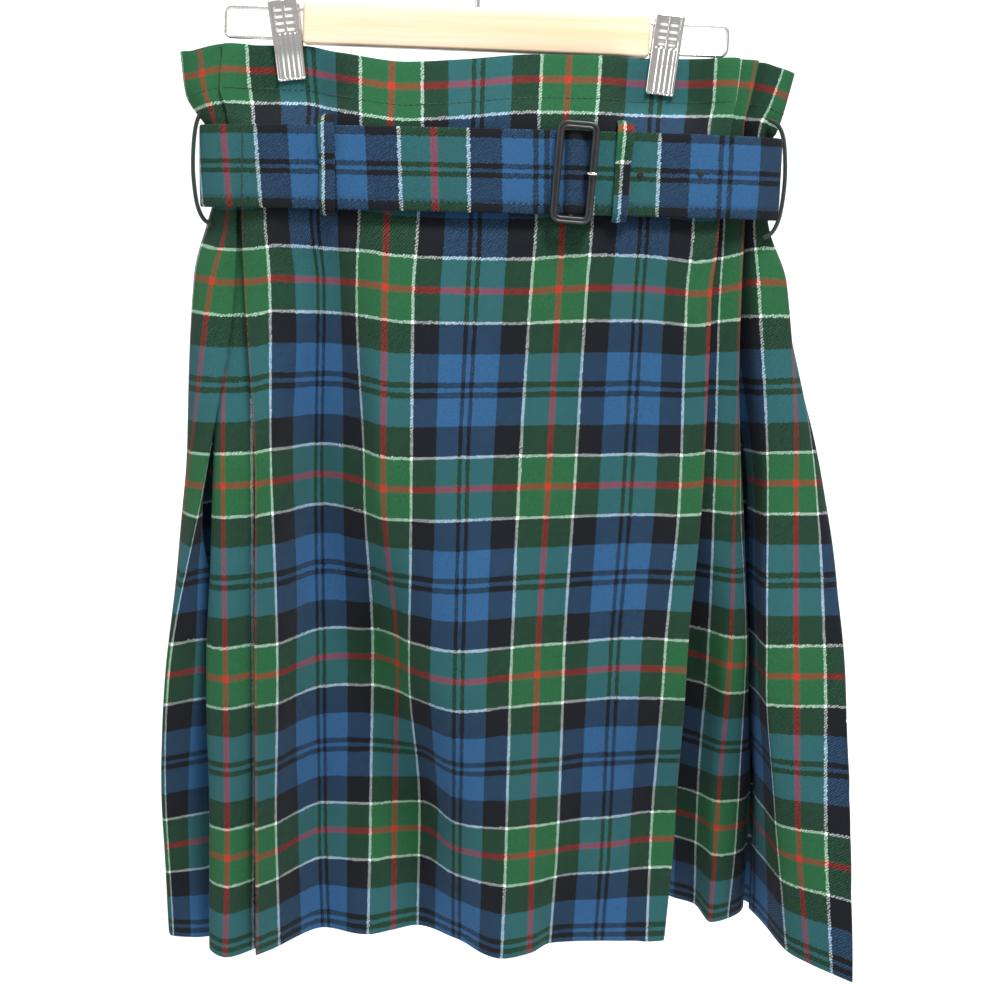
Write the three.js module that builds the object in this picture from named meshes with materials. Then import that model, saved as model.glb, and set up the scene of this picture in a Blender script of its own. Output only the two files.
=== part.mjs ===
// Checked wrap skirt, hung from a wooden bar hanger by two metal clips.
//
// Millimetres. +Z is up, -Y is the front of the skirt and +X is to the right when the front is seen.
// The origin is the point where the hanger's hook bears on what carries it.
//
// The skirt is one long strip of cloth that wraps round the body. A place on the strip is given by
// "at", counted in repeats of the check along the strip, and "down", measured from the waist edge.
// Each table row is one line down the cloth: a fold edge, a ridge, the bottom of a trough or a seam.
// It holds [x, y] of that line at six heights.

import * as THREE from "three";

// ---------------------------------------------------------------- driving dimensions

const CLOTH = 1.5;              // thickness of the wool twill
const CLEAR = 0.3;              // gap between neighbouring pieces
const CLOTH_TOP = -95;          // height of the waist edge
const SKIRT_MIDDLE = 7;         // the skirt is clipped a little to the right of the hanger's middle
const HALF_WAIST = 162;         // half the width of the cloth at the belt

const HEIGHTS = { belt: 91, hip: 130, seat: 246, thigh: 362, knee: 470, hem: 543 };
const BELT_TOP = 40.7;          // belt's upper edge, measured down from the waist edge
const BELT_WIDTH = 46.8;
const BELT_THICK = 2.4;

const HANGER_TILT = 0.85;       // degrees: the hanger hangs a little lower at its right
const BAR = { halfLength: 100, top: -66.5, bottom: -90.5, thick: 9 };
const RAIL = { wire: 1.6, reach: 145, upper: -71.3, lower: -87.8, corner: 4 };
const HOOK = { wire: 3, radius: 20, stemTop: -48 };
const CLIP = { x: 109.6, width: 15, top: -67.5, bottom: -111, plate: 0.8, spread: 7, spring: 3.9, springZ: -81.8 };
const PINCH = { flat: 15.5, reach: 40 };        // beside a clip's middle: the cloth lies flat, then eases out
const CLIP_LEAN = { left: -8.1, right: 5 };     // degrees: the clips lean in towards each other below
const CLIP_GRIP = { left: 1.15, right: 2.3 };   // middle of the outer cloth layer from the hanger's plane

// Where the two clips hold each layer of cloth, measured backwards from the hanger's plane.
const FRONT_LAYER = { left: -CLIP_GRIP.left, right: -CLIP_GRIP.right };
const PLEAT_LAYER = { left: 0.6, right: 0 };
const MIDDLE_LAYER = { left: 0, right: 0.15 };
const BACK_LAYER = { left: CLIP_GRIP.left, right: CLIP_GRIP.right };
const SEAM_GAP = 0.006;         // "at" left free on each side of a seam between two widths

const BUCKLE = { x: 56.8, width: 24.5, height: 57.2, bar: 4.4, thick: 4.5, lift: 0.8, tilt: 3.5 };

// ---------------------------------------------------------------- the cloth's lines

// Over-apron: from the pressed fold at its left to the wrap edge at its right.
const APRON = [
  { at: 0.00, belt: [-136, -13], hip: [-134, -17], seat: [-124, -38], thigh: [-125, -40], knee: [-125, -38], hem: [-126, -34] },
  { at: 0.16, belt: [-121, -18], hip: [-118, -20], seat: [-115, -36], thigh: [-112, -35], knee: [-114, -27], hem: [-114, -20] },
  { at: 0.50, belt: [-92, -21], hip: [-89, -13], seat: [-91, -4], thigh: [-90, -2], knee: [-90, 9], hem: [-87, 6] },
  { at: 0.84, belt: [-66, -22.5], hip: [-67, -20], seat: [-61, -26], thigh: [-58, 4], knee: [-59, 9], hem: [-59, -2] },
  { at: 1.00, belt: [-50, -24], hip: [-50, -27], seat: [-49, -38], thigh: [-41, -10], knee: [-44, 14], hem: [-43, 5] },
  { at: 1.16, belt: [-32, -25], hip: [-34, -28], seat: [-33, -38], thigh: [-33, -20], knee: [-28, 16], hem: [-28, 13] },
  { at: 1.50, belt: [1, -25], hip: [0, -27], seat: [-3, -32], thigh: [-3, -36], knee: [-2, -16], hem: [-2, -5] },
  { at: 1.84, belt: [36, -25], hip: [34, -25], seat: [30, -26], thigh: [28, -31], knee: [28, -26], hem: [27, -30] },
  { at: 2.00, belt: [51, -25], hip: [50, -24], seat: [47, -22], thigh: [44, -23], knee: [44, -21], hem: [44, -22] },
  { at: 2.16, belt: [68, -24], hip: [66, -23], seat: [63, -19], thigh: [60, -18], knee: [60, -15], hem: [58, -9] },
  { at: 2.50, belt: [98, -22], hip: [97, -19], seat: [95, -15], thigh: [91, -15], knee: [91, -4], hem: [89, -3] },
  { at: 2.84, belt: [127, -18], hip: [125, -16], seat: [127, -11], thigh: [122, -12], knee: [121, 7], hem: [120, -2] },
  { at: 3.03, belt: [143, -16], hip: [139, -15], seat: [141, -9], thigh: [136, -11], knee: [136, 9], hem: [131, 0] },
];

// First pleat left of the apron: its own fold edge, the bulge of its face, and the part under the apron.
const LEFT_FRONT = [
  { at: -1.28, belt: [-150, -1], hip: [-152, -1], seat: [-142, -22], thigh: [-144, -33], knee: [-144, -22], hem: [-146, -15] },
  { at: -1.16, belt: [-147, -3], hip: [-151, -4], seat: [-150, -27], thigh: [-153, -38], knee: [-154, -29], hem: [-156, -24] },
  { at: -1.00, belt: [-140, -6.5], hip: [-144, -8], seat: [-141, -34], thigh: [-141, -44], knee: [-142, -38], hem: [-144, -37] },
  { at: -0.84, belt: [-128, -9.8], hip: [-129, -12], seat: [-127, -31], thigh: [-127, -33], knee: [-128, -28], hem: [-129, -26] },
  { at: -0.65, belt: [-112, -13], hip: [-110, -12], seat: [-112, -18], thigh: [-113, -18], knee: [-116, -10], hem: [-116, -8] },
];

// Side pleat: from the back, round the left edge of the skirt, to its ridge and into the trough beyond.
const LEFT_SIDE = [
  { at: -2.45, belt: [-146, 7.5], hip: [-150, 12], seat: [-158, 20], thigh: [-168, 32], knee: [-173, 42], hem: [-172, 48] },
  { at: -2.20, belt: [-157, 1], hip: [-163, 2], seat: [-170, -2], thigh: [-180, 4], knee: [-187, 16], hem: [-186, 24] },
  { at: -2.00, belt: [-152, -7], hip: [-156, -9], seat: [-167, -20], thigh: [-179, -22], knee: [-187, -4], hem: [-187, 6] },
  { at: -1.84, belt: [-139, -11], hip: [-140, -13], seat: [-156, -33], thigh: [-176, -44], knee: [-183, -24], hem: [-183, -10] },
  { at: -1.65, belt: [-138, -10], hip: [-139, -12], seat: [-157, -19], thigh: [-160, -30], knee: [-168, -15], hem: [-168, -12] },
  { at: -1.45, belt: [-137, -9], hip: [-138, -11], seat: [-142, -12], thigh: [-148, -16], knee: [-148, -4], hem: [-148, -4] },
];

// Right side panel: from the deep trough, over the panel's face to its pressed outer fold, round to the back.
const RIGHT_SIDE = [
  { at: -8.54, belt: [140, -3], hip: [142, -2], seat: [172, 27], thigh: [180, 38], knee: [193, 48], hem: [194, 50] },
  { at: -8.36, belt: [152, -4], hip: [154, -4], seat: [176, 18], thigh: [184, 18], knee: [195, 24], hem: [201, 26] },
  { at: -8.16, belt: [164, -6], hip: [169, -5], seat: [182, 2], thigh: [186, -10], knee: [199, -7], hem: [209, -11] },
  { at: -8.00, belt: [170, -1], hip: [181, -1], seat: [200, 5], thigh: [204, -10], knee: [211, -17], hem: [219, -26] },
  { at: -7.84, belt: [168, 3], hip: [184, 8], seat: [212, 8], thigh: [222, -8], knee: [226, -24], hem: [231, -39] },
  { at: -7.72, belt: [165, 5], hip: [182, 13], seat: [217, 14], thigh: [234, -8], knee: [240, -31], hem: [241, -49] },
  { at: -7.55, belt: [158, 8], hip: [174, 18], seat: [208, 30], thigh: [226, 10], knee: [236, -12], hem: [238, -30] },
  { at: -7.25, belt: [146, 11], hip: [156, 21], seat: [193, 44], thigh: [214, 38], knee: [224, 18], hem: [229, 0] },
  { at: -6.85, belt: [124, 16], hip: [134, 23], seat: [168, 50], thigh: [190, 62], knee: [203, 54], hem: [212, 40] },
];

// Under-apron: its hidden end and the stretch behind the apron, then the ridge pleat that shows beside it.
const UNDER_APRON = [
  { at: -11.40, belt: [-55, -18], hip: [-52, -18], seat: [-45, 0], thigh: [-40, 28], knee: [-40, 40], hem: [-40, 42] },
  { at: -10.70, belt: [15, -20.5], hip: [18, -20], seat: [28, -2], thigh: [25, 22], knee: [25, 38], hem: [25, 40] },
  { at: -10.10, belt: [72, -18.5], hip: [74, -17], seat: [84, 6], thigh: [84, 24], knee: [80, 42], hem: [78, 48] },
  { at: -9.75, belt: [105, -15], hip: [106, -14], seat: [112, 8], thigh: [112, 34], knee: [106, 56], hem: [110, 64] },
  { at: -9.46, belt: [126, -11.5], hip: [126, -11], seat: [130, 6], thigh: [130, 36], knee: [132, 63], hem: [134, 73] },
  { at: -9.32, belt: [135, -10], hip: [135, -10], seat: [138, 4], thigh: [140, 32], knee: [143, 54], hem: [145, 63] },
  { at: -9.16, belt: [146, -9], hip: [145, -9], seat: [146, 2], thigh: [153, 22], knee: [155, 43], hem: [158, 53] },
  { at: -9.00, belt: [155, -11], hip: [154, -12], seat: [160, 2], thigh: [165, 9], knee: [166, 27], hem: [165, 27] },
  { at: -8.84, belt: [156, -11], hip: [155, -11], seat: [169, 6], thigh: [177, 11], knee: [179, 31], hem: [177, 33] },
  { at: -8.72, belt: [157, -11], hip: [156, -11], seat: [171, 11], thigh: [179, 19], knee: [185, 38], hem: [186, 42] },
  { at: -8.56, belt: [158, -11], hip: [157, -11], seat: [166, 24], thigh: [178, 35], knee: [190, 47], hem: [190, 50] },
];

// Back: the smooth run of the panel, before its pleats.
const BACK = [
  { at: -6.85, belt: [124, 16], hip: [134, 23], seat: [168, 50], thigh: [190, 62], knee: [203, 54], hem: [212, 40] },
  { at: -5.90, belt: [90, 18.5], hip: [94, 24], seat: [120, 54], thigh: [134, 80], knee: [142, 88], hem: [146, 90] },
  { at: -4.60, belt: [-8, 21], hip: [-8, 24], seat: [6, 50], thigh: [14, 76], knee: [20, 92], hem: [22, 100] },
  { at: -3.30, belt: [-100, 17], hip: [-104, 21], seat: [-110, 40], thigh: [-112, 62], knee: [-114, 76], hem: [-112, 82] },
  { at: -2.45, belt: [-146, 7.5], hip: [-150, 12], seat: [-158, 20], thigh: [-168, 32], knee: [-173, 42], hem: [-172, 48] },
];
const BACK_SEAM = -4.65;        // the back is joined from two widths of cloth, under a pleat
const BACK_PLEATS = 3;          // in each width
const BACK_PLEAT_DEPTH = { belt: 0, hip: 2, seat: 5, thigh: 7, knee: 9, hem: 10 };

// How far the waist edge and the cloth just below the belt hang down, across the front.
const WAIST_SAG = [
  { x: -165, drop: 0 }, { x: -145, drop: -4 }, { x: -100, drop: -4.5 }, { x: -76, drop: 0 }, { x: -50, drop: 4.5 },
  { x: -10, drop: 2.5 }, { x: 35, drop: -1.5 }, { x: 90, drop: -2 }, { x: 150, drop: -2 }, { x: 183, drop: 3 },
];

// ---------------------------------------------------------------- smooth curves through table values

// Slopes of a curve that passes through every value and never swings past one.
function keptSlopes(places, values) {
  const last = places.length - 1;
  const rise = [];
  for (let i = 0; i < last; i += 1) rise.push((values[i + 1] - values[i]) / (places[i + 1] - places[i]));
  const slopes = [rise[0]];
  for (let i = 1; i < last; i += 1) {
    const before = places[i] - places[i - 1];
    const after = places[i + 1] - places[i];
    const turns = rise[i - 1] * rise[i] <= 0;
    const weightA = 2 * after + before;
    const weightB = after + 2 * before;
    slopes.push(turns ? 0 : (weightA + weightB) / (weightA / rise[i - 1] + weightB / rise[i]));
  }
  slopes.push(rise[last - 1]);
  return slopes;
}

function smoothCurve(places, values) {
  const slopes = keptSlopes(places, values);
  return (place) => {
    let i = 0;
    while (i < places.length - 2 && place > places[i + 1]) i += 1;
    const span = places[i + 1] - places[i];
    const u = THREE.MathUtils.clamp((place - places[i]) / span, 0, 1);
    const v = 1 - u;
    return values[i] * v * v * (1 + 2 * u) + values[i + 1] * u * u * (1 + 2 * v)
      + span * u * v * (slopes[i] * v - slopes[i + 1] * u);
  };
}

const HEIGHT_NAMES = Object.keys(HEIGHTS);
const LEVELS = [0, BELT_TOP - 1, ...Object.values(HEIGHTS)];
const sagAt = smoothCurve(WAIST_SAG.map((row) => row.x), WAIST_SAG.map((row) => row.drop));

function dropAt(x, down) {
  const fade = 1 - THREE.MathUtils.smoothstep(down, HEIGHTS.hip, HEIGHTS.seat);
  return sagAt(THREE.MathUtils.clamp(x, -165, 183)) * fade;
}

// ---------------------------------------------------------------- the waist edge above the belt

// The cloth flares outwards above the belt.
function waistEdge([x, y]) {
  const out = (x - SKIRT_MIDDLE) / HALF_WAIST;
  return [SKIRT_MIDDLE + (x - SKIRT_MIDDLE) * (1.03 + 0.055 * Math.abs(out) ** 3), 0.6 * y];
}

// Each clip pinches the layers together, flat under its plates and easing out beside and below them.
function pinchedY({ x, y, z }, layer) {
  const beside = THREE.MathUtils.smoothstep(Math.abs(Math.abs(x) - CLIP.x), PINCH.flat, PINCH.reach);
  const below = THREE.MathUtils.smoothstep(z, CLOTH_TOP - BELT_TOP - 10, CLIP.bottom - 5);
  return THREE.MathUtils.lerp(y, x < 0 ? layer.left : layer.right, (1 - beside) * below);
}

// ---------------------------------------------------------------- cloth walls

// A strip turns its table into a function of "at" and "down" that gives a point on the cloth's middle.
function clothStrip(table, layer) {
  const atValues = table.map((row) => row.at);
  const columns = table.map((row) => {
    const points = [waistEdge(row.belt), row.belt, ...HEIGHT_NAMES.map((name) => row[name])];
    return {
      x: smoothCurve(LEVELS, points.map((point) => point[0])),
      y: smoothCurve(LEVELS, points.map((point) => point[1])),
    };
  });
  return (down) => {
    const x = smoothCurve(atValues, columns.map((column) => column.x(down)));
    const y = smoothCurve(atValues, columns.map((column) => column.y(down)));
    return (at) => {
      const point = new THREE.Vector3(x(at), y(at), CLOTH_TOP - down - dropAt(x(at), down));
      point.y = pinchedY(point, layer);
      return point;
    };
  };
}

function heightCurve(values) {
  return smoothCurve([0, ...Object.values(HEIGHTS)], [values.belt, ...HEIGHT_NAMES.map((name) => values[name])]);
}

const ROW_DEPTHS = [0, 11, 24, 38, BELT_TOP - 1, HEIGHTS.belt, 130, 169, 208, 246, 285, 324, 362, 416, 470, 506, 543];

// Middle points of a cloth panel: one list of points for each depth.
function panelGrid(strip, fromAt, toAt, columnCount, shape = (point) => point) {
  return ROW_DEPTHS.map((down) => {
    const line = strip(down);
    const start = fromAt(down);
    const end = toAt(down);
    const points = [];
    for (let i = 0; i <= columnCount; i += 1) {
      const at = THREE.MathUtils.lerp(start, end, i / columnCount);
      points.push(shape(line(at), at, down));
    }
    return points;
  });
}

// Unit normals of a grid of points, on the side away from the body.
function gridNormals(grid) {
  const lastRow = grid.length - 1;
  return grid.map((row, r) => row.map((_, c) => {
    const along = new THREE.Vector3().subVectors(row[Math.min(c + 1, row.length - 1)], row[Math.max(c - 1, 0)]);
    const below = grid[Math.min(r + 1, lastRow)][c];
    const above = grid[Math.max(r - 1, 0)][c];
    const downward = new THREE.Vector3().subVectors(below, above);
    return downward.cross(along).normalize();
  }));
}

// A closed wall of even thickness on a grid of middle points.
function wallGeometry(grid, thickness) {
  const normals = gridNormals(grid);
  const rows = grid.length;
  const columns = grid[0].length;
  const positions = [];
  for (const side of [0.5, -0.5]) {
    grid.forEach((row, r) => row.forEach((point, c) => {
      positions.push(...point.clone().addScaledVector(normals[r][c], side * thickness).toArray());
    }));
  }
  const index = (r, c, side) => side * rows * columns + r * columns + c;
  const faces = [];
  const quad = (a, b, c, d) => faces.push(a, b, c, a, c, d);
  for (let r = 0; r + 1 < rows; r += 1) {
    for (let c = 0; c + 1 < columns; c += 1) {
      quad(index(r, c, 0), index(r + 1, c, 0), index(r + 1, c + 1, 0), index(r, c + 1, 0));
      quad(index(r, c, 1), index(r, c + 1, 1), index(r + 1, c + 1, 1), index(r + 1, c, 1));
    }
    quad(index(r, 0, 1), index(r + 1, 0, 1), index(r + 1, 0, 0), index(r, 0, 0));
    quad(index(r, columns - 1, 0), index(r + 1, columns - 1, 0), index(r + 1, columns - 1, 1), index(r, columns - 1, 1));
  }
  for (let c = 0; c + 1 < columns; c += 1) {
    quad(index(0, c, 0), index(0, c + 1, 0), index(0, c + 1, 1), index(0, c, 1));
    quad(index(rows - 1, c, 1), index(rows - 1, c + 1, 1), index(rows - 1, c + 1, 0), index(rows - 1, c, 0));
  }
  const geometry = new THREE.BufferGeometry();
  geometry.setAttribute("position", new THREE.Float32BufferAttribute(positions, 3));
  geometry.setIndex(faces);
  return geometry;
}

// ---------------------------------------------------------------- materials

const MATERIALS = {
  tartan: new THREE.MeshStandardMaterial({ color: 0x2f5f4a, roughness: 0.9 }),
  tartanDark: new THREE.MeshStandardMaterial({ color: 0x26425f, roughness: 0.9 }),
  thread: new THREE.MeshStandardMaterial({ color: 0x16301f, roughness: 0.8 }),
  leather: new THREE.MeshStandardMaterial({ color: 0x17181a, roughness: 0.5 }),
  chrome: new THREE.MeshStandardMaterial({ color: 0xc8cacd, roughness: 0.2, metalness: 1 }),
  wood: new THREE.MeshStandardMaterial({ color: 0xe9cf9c, roughness: 0.5 }),
};

const skirt = new THREE.Group();

function addMesh(name, geometry, material, parent = skirt) {
  const mesh = new THREE.Mesh(geometry, material);
  mesh.name = name;
  parent.add(mesh);
  return mesh;
}

// ---------------------------------------------------------------- skirt panels

const always = (at) => () => at;
const apronStrip = clothStrip(APRON, FRONT_LAYER);

function addPanels() {
  addMesh("front_apron", wallGeometry(panelGrid(apronStrip, always(0), always(3.03), 36), CLOTH), MATERIALS.tartan);

  const pleatInner = heightCurve({ belt: -0.86, hip: -0.78, seat: -0.65, thigh: -0.65, knee: -0.65, hem: -0.65 });
  const pleatOuter = heightCurve({ belt: -1.16, hip: -1.16, seat: -1.22, thigh: -1.26, knee: -1.28, hem: -1.28 });
  const leftFront = clothStrip(LEFT_FRONT, PLEAT_LAYER);
  addMesh("left_front_pleat", wallGeometry(panelGrid(leftFront, pleatOuter, pleatInner, 9), CLOTH), MATERIALS.tartanDark);

  const troughEnd = heightCurve({ belt: -1.84, hip: -1.84, seat: -1.74, thigh: -1.45, knee: -1.45, hem: -1.45 });
  const leftSide = clothStrip(LEFT_SIDE, FRONT_LAYER);
  addMesh("left_side_pleat", wallGeometry(panelGrid(leftSide, always(-2.45 + SEAM_GAP), troughEnd, 14), CLOTH), MATERIALS.tartan);

  const troughStart = heightCurve({ belt: -8.36, hip: -8.36, seat: -8.46, thigh: -8.53, knee: -8.53, hem: -8.53 });
  const rightSide = clothStrip(RIGHT_SIDE, BACK_LAYER);
  addMesh("right_side_panel", wallGeometry(panelGrid(rightSide, troughStart, always(-6.85 - SEAM_GAP), 20), CLOTH), MATERIALS.tartan);

  const ridgeEnd = heightCurve({ belt: -9.0, hip: -8.99, seat: -8.74, thigh: -8.58, knee: -8.57, hem: -8.57 });
  const underApron = clothStrip(UNDER_APRON, MIDDLE_LAYER);
  const pleatSeam = -9.6;
  const flat = panelGrid(underApron, always(-11.4), always(pleatSeam - SEAM_GAP), 18);
  addMesh("under_apron", wallGeometry(flat, CLOTH), MATERIALS.tartanDark);
  const ridge = panelGrid(underApron, always(pleatSeam + SEAM_GAP), ridgeEnd, 12);
  addMesh("right_front_pleat", wallGeometry(ridge, CLOTH), MATERIALS.tartan);

  addMesh("back_panel_right", backGeometry(-6.85 + SEAM_GAP, BACK_SEAM - SEAM_GAP), MATERIALS.tartanDark);
  addMesh("back_panel_left", backGeometry(BACK_SEAM + SEAM_GAP, -2.45 - SEAM_GAP), MATERIALS.tartanDark);
}

// Each knife pleat rises slowly along its face and steps back at its fold edge.
function backGeometry(first, last) {
  const strip = clothStrip(BACK, BACK_LAYER);
  const depthAt = heightCurve(BACK_PLEAT_DEPTH);
  const pleated = (point, at, down) => {
    const phase = ((at - first) / (last - first)) * BACK_PLEATS;
    const along = phase - Math.floor(phase);
    const rise = along < 0.75 ? along / 0.75 : (1 - along) / 0.25;
    point.y += depthAt(down) * THREE.MathUtils.smoothstep(rise, 0, 1);
    return point;
  };
  return wallGeometry(panelGrid(strip, always(first), always(last), BACK_PLEATS * 4, pleated), CLOTH);
}

// ---------------------------------------------------------------- belt, loops and buckle

const BELT_MIDDLE = { x: 6.5, y: -1.5, halfX: 167, halfY: 27.5, squareness: 2.2 };
const BELT_CENTRE_Z = CLOTH_TOP - BELT_TOP - BELT_WIDTH / 2;

function beltOval(angle) {
  const power = 2 / BELT_MIDDLE.squareness;
  const c = Math.cos(angle);
  const s = Math.sin(angle);
  return new THREE.Vector2(
    BELT_MIDDLE.x + BELT_MIDDLE.halfX * Math.sign(c) * Math.abs(c) ** power,
    BELT_MIDDLE.y + BELT_MIDDLE.halfY * Math.sign(s) * Math.abs(s) ** power,
  );
}

function beltFrontY(x) {
  const out = Math.abs((x - BELT_MIDDLE.x) / BELT_MIDDLE.halfX);
  const power = BELT_MIDDLE.squareness;
  return BELT_MIDDLE.y - BELT_MIDDLE.halfY * (1 - out ** power) ** (1 / power);
}

// The belt starts under the buckle's left side, goes left, round the back and ends through the buckle.
function beltPath() {
  const points = [];
  const start = BUCKLE.x - BUCKLE.width / 2 - 1;
  const right = BUCKLE.x + BUCKLE.width / 2 + 8;
  const steps = 64;
  points.push(new THREE.Vector2(start, beltFrontY(start)));
  for (let i = 1; i < steps; i += 1) {
    const point = beltOval(-Math.PI / 2 - (2 * Math.PI * i) / steps);
    if (i < steps / 2 || point.y > BELT_MIDDLE.y || point.x > right) points.push(point);
  }
  // Through the buckle: under its right side, over the centre bar and under its left side.
  for (const [fromCentre, lift] of [[17, 0], [5.4, 0], [3, 3.1], [0, 3.3], [-3, 3.1], [-5.4, 0], [-12, 0]]) {
    const x = BUCKLE.x + fromCentre;
    points.push(new THREE.Vector2(x, beltFrontY(x) - lift));
  }
  return points;
}

function addBelt() {
  const path = beltPath();
  const rows = [BELT_WIDTH / 2, -BELT_WIDTH / 2].map((height) => (
    path.map((point) => new THREE.Vector3(point.x, point.y, BELT_CENTRE_Z + height)).reverse()
  ));
  addMesh("belt", wallGeometry(rows, BELT_THICK), MATERIALS.tartanDark);
}

// A loop lies on the cloth above and below the belt, and over the belt between.
function addBeltLoop(name, fromAt, toAt) {
  const onCloth = CLOTH + 7 * CLEAR;
  const onBelt = (BELT_THICK + CLOTH) / 2 + CLEAR;
  const over = [
    { down: 34, belt: false }, { down: 39.1, belt: true }, { down: 64.1, belt: true },
    { down: 89.2, belt: true }, { down: 94.7, belt: false }, { down: 99, belt: false },
  ];
  const grid = over.map(({ down, belt }) => {
    const line = apronStrip(down);
    return [0, 0.5, 1].map((u) => {
      const point = line(THREE.MathUtils.lerp(fromAt, toAt, u));
      if (belt) point.set(point.x, beltFrontY(point.x) - onBelt, CLOTH_TOP - down);
      else point.y -= onCloth;
      return point;
    });
  });
  addMesh(name, wallGeometry(grid, CLOTH), MATERIALS.tartan);
}

function tube(points, radius, sides, steps) {
  const curve = new THREE.CatmullRomCurve3(points.map((point) => new THREE.Vector3(...point)), false, "centripetal");
  const section = new THREE.Shape();
  for (let i = 0; i < sides; i += 1) {
    const angle = (2 * Math.PI * i) / sides;
    const place = [radius * Math.cos(angle), radius * Math.sin(angle)];
    if (i === 0) section.moveTo(...place);
    else section.lineTo(...place);
  }
  section.closePath();
  return new THREE.ExtrudeGeometry(section, { steps, extrudePath: curve, bevelEnabled: false });
}

// The cord carriers bow outwards round the belt at the two side seams.
function addThreadLoops() {
  const radius = 1.1;
  for (const [name, side, seamX] of [["thread_loop_left", -1, -157.5], ["thread_loop_right", 1, 171.35]]) {
    const out = (distance) => seamX + side * distance;
    addMesh(name, tube([
      [out(1.6), -3, CLOTH_TOP - 32],
      [out(5), -3.5, CLOTH_TOP - 39],
      [out(7.2), -4, CLOTH_TOP - 55],
      [out(7.2), -4, CLOTH_TOP - 72],
      [out(4.9), -3.5, CLOTH_TOP - 88.8],
      [out(1.8), -3, CLOTH_TOP - 96.8],
    ], radius, 8, 14), MATERIALS.thread);
  }
}

function roundedRectangle(shape, halfWidth, halfHeight, radius) {
  shape.moveTo(-halfWidth + radius, -halfHeight);
  shape.lineTo(halfWidth - radius, -halfHeight);
  shape.absarc(halfWidth - radius, -halfHeight + radius, radius, -Math.PI / 2, 0);
  shape.lineTo(halfWidth, halfHeight - radius);
  shape.absarc(halfWidth - radius, halfHeight - radius, radius, 0, Math.PI / 2);
  shape.lineTo(-halfWidth + radius, halfHeight);
  shape.absarc(-halfWidth + radius, halfHeight - radius, radius, Math.PI / 2, Math.PI);
  shape.lineTo(-halfWidth, -halfHeight + radius);
  shape.absarc(-halfWidth + radius, -halfHeight + radius, radius, Math.PI, 1.5 * Math.PI);
  return shape;
}

function addBuckle() {
  const group = new THREE.Group();
  const beltFace = beltFrontY(BUCKLE.x) - BELT_THICK / 2;
  group.position.set(BUCKLE.x, beltFace, BELT_CENTRE_Z);
  group.rotation.y = THREE.MathUtils.degToRad(BUCKLE.tilt);
  skirt.add(group);

  const outline = roundedRectangle(new THREE.Shape(), BUCKLE.width / 2, BUCKLE.height / 2, 6);
  outline.holes.push(roundedRectangle(new THREE.Path(), BUCKLE.width / 2 - BUCKLE.bar, BUCKLE.height / 2 - BUCKLE.bar, 1.5));
  const frame = new THREE.ExtrudeGeometry(outline, { depth: BUCKLE.thick, bevelEnabled: false, curveSegments: 5 });
  frame.rotateX(Math.PI / 2);
  frame.translate(0, -BUCKLE.lift, 0);
  addMesh("buckle_frame", frame, MATERIALS.leather, group);

  const barRadius = 1.1;
  const bar = new THREE.CylinderGeometry(barRadius, barRadius, BUCKLE.height - 4, 10);
  bar.rotateX(Math.PI / 2);
  bar.translate(0, barRadius + CLEAR - BUCKLE.lift, 0);
  addMesh("buckle_bar", bar, MATERIALS.chrome, group);

  // The prong rises from the bar, runs over the belt and rests on the frame's right side.
  const prong = tube([[1, -4.6, 0], [4, -5.1, 0], [7.4, -6.5, 0], [12.2, -6.6, 0]], 0.9, 8, 10);
  addMesh("buckle_prong", prong, MATERIALS.chrome, group);
}

// ---------------------------------------------------------------- hanger

function addHanger() {
  const hanger = new THREE.Group();
  hanger.rotation.y = THREE.MathUtils.degToRad(HANGER_TILT);
  skirt.add(hanger);

  const height = BAR.top - BAR.bottom;
  const edge = 1.5;
  const side = roundedRectangle(new THREE.Shape(), BAR.halfLength, height / 2, 3);
  const bar = new THREE.ExtrudeGeometry(side, {
    depth: BAR.thick - 2 * edge, bevelThickness: edge, bevelSize: edge, bevelOffset: -edge, bevelSegments: 2, curveSegments: 4,
  });
  bar.translate(0, 0, -(BAR.thick - 2 * edge) / 2);
  bar.rotateX(Math.PI / 2);
  bar.translate(0, 0, (BAR.top + BAR.bottom) / 2);
  addMesh("hanger_bar", bar, MATERIALS.wood, hanger);

  const centreZ = HOOK.wire / 2 - HOOK.radius;
  const points = [[0, 0, BAR.top + CLEAR], [0, 0, -56], [1.5, 0, HOOK.stemTop], [10, 0, -39], [17.5, 0, -29]];
  for (let angle = -8; angle <= 200; angle += 26) {
    const turn = THREE.MathUtils.degToRad(angle);
    points.push([HOOK.radius * Math.cos(turn), 0, centreZ + HOOK.radius * Math.sin(turn)]);
  }
  addMesh("hanger_hook", tube(points, HOOK.wire / 2, 8, 40), MATERIALS.chrome, hanger);

  for (const [name, sign] of [["rail_left", -1], ["rail_right", 1]]) {
    const inner = sign * (BAR.halfLength + CLEAR);
    const bend = sign * (RAIL.reach - RAIL.corner);
    const end = sign * RAIL.reach;
    const rounding = RAIL.corner * 0.3;
    const path = [
      [inner, 0, RAIL.upper], [sign * 125, 0, RAIL.upper], [bend, 0, RAIL.upper],
      [end - sign * rounding, 0, RAIL.upper - rounding], [end, 0, RAIL.upper - RAIL.corner],
      [end, 0, RAIL.lower + RAIL.corner], [end - sign * rounding, 0, RAIL.lower + rounding],
      [bend, 0, RAIL.lower], [sign * 125, 0, RAIL.lower], [inner, 0, RAIL.lower],
    ];
    addMesh(name, tube(path, RAIL.wire / 2, 8, 26), MATERIALS.chrome, hanger);
  }
  addClip("left", -1, hanger);
  addClip("right", 1, hanger);
}

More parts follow.
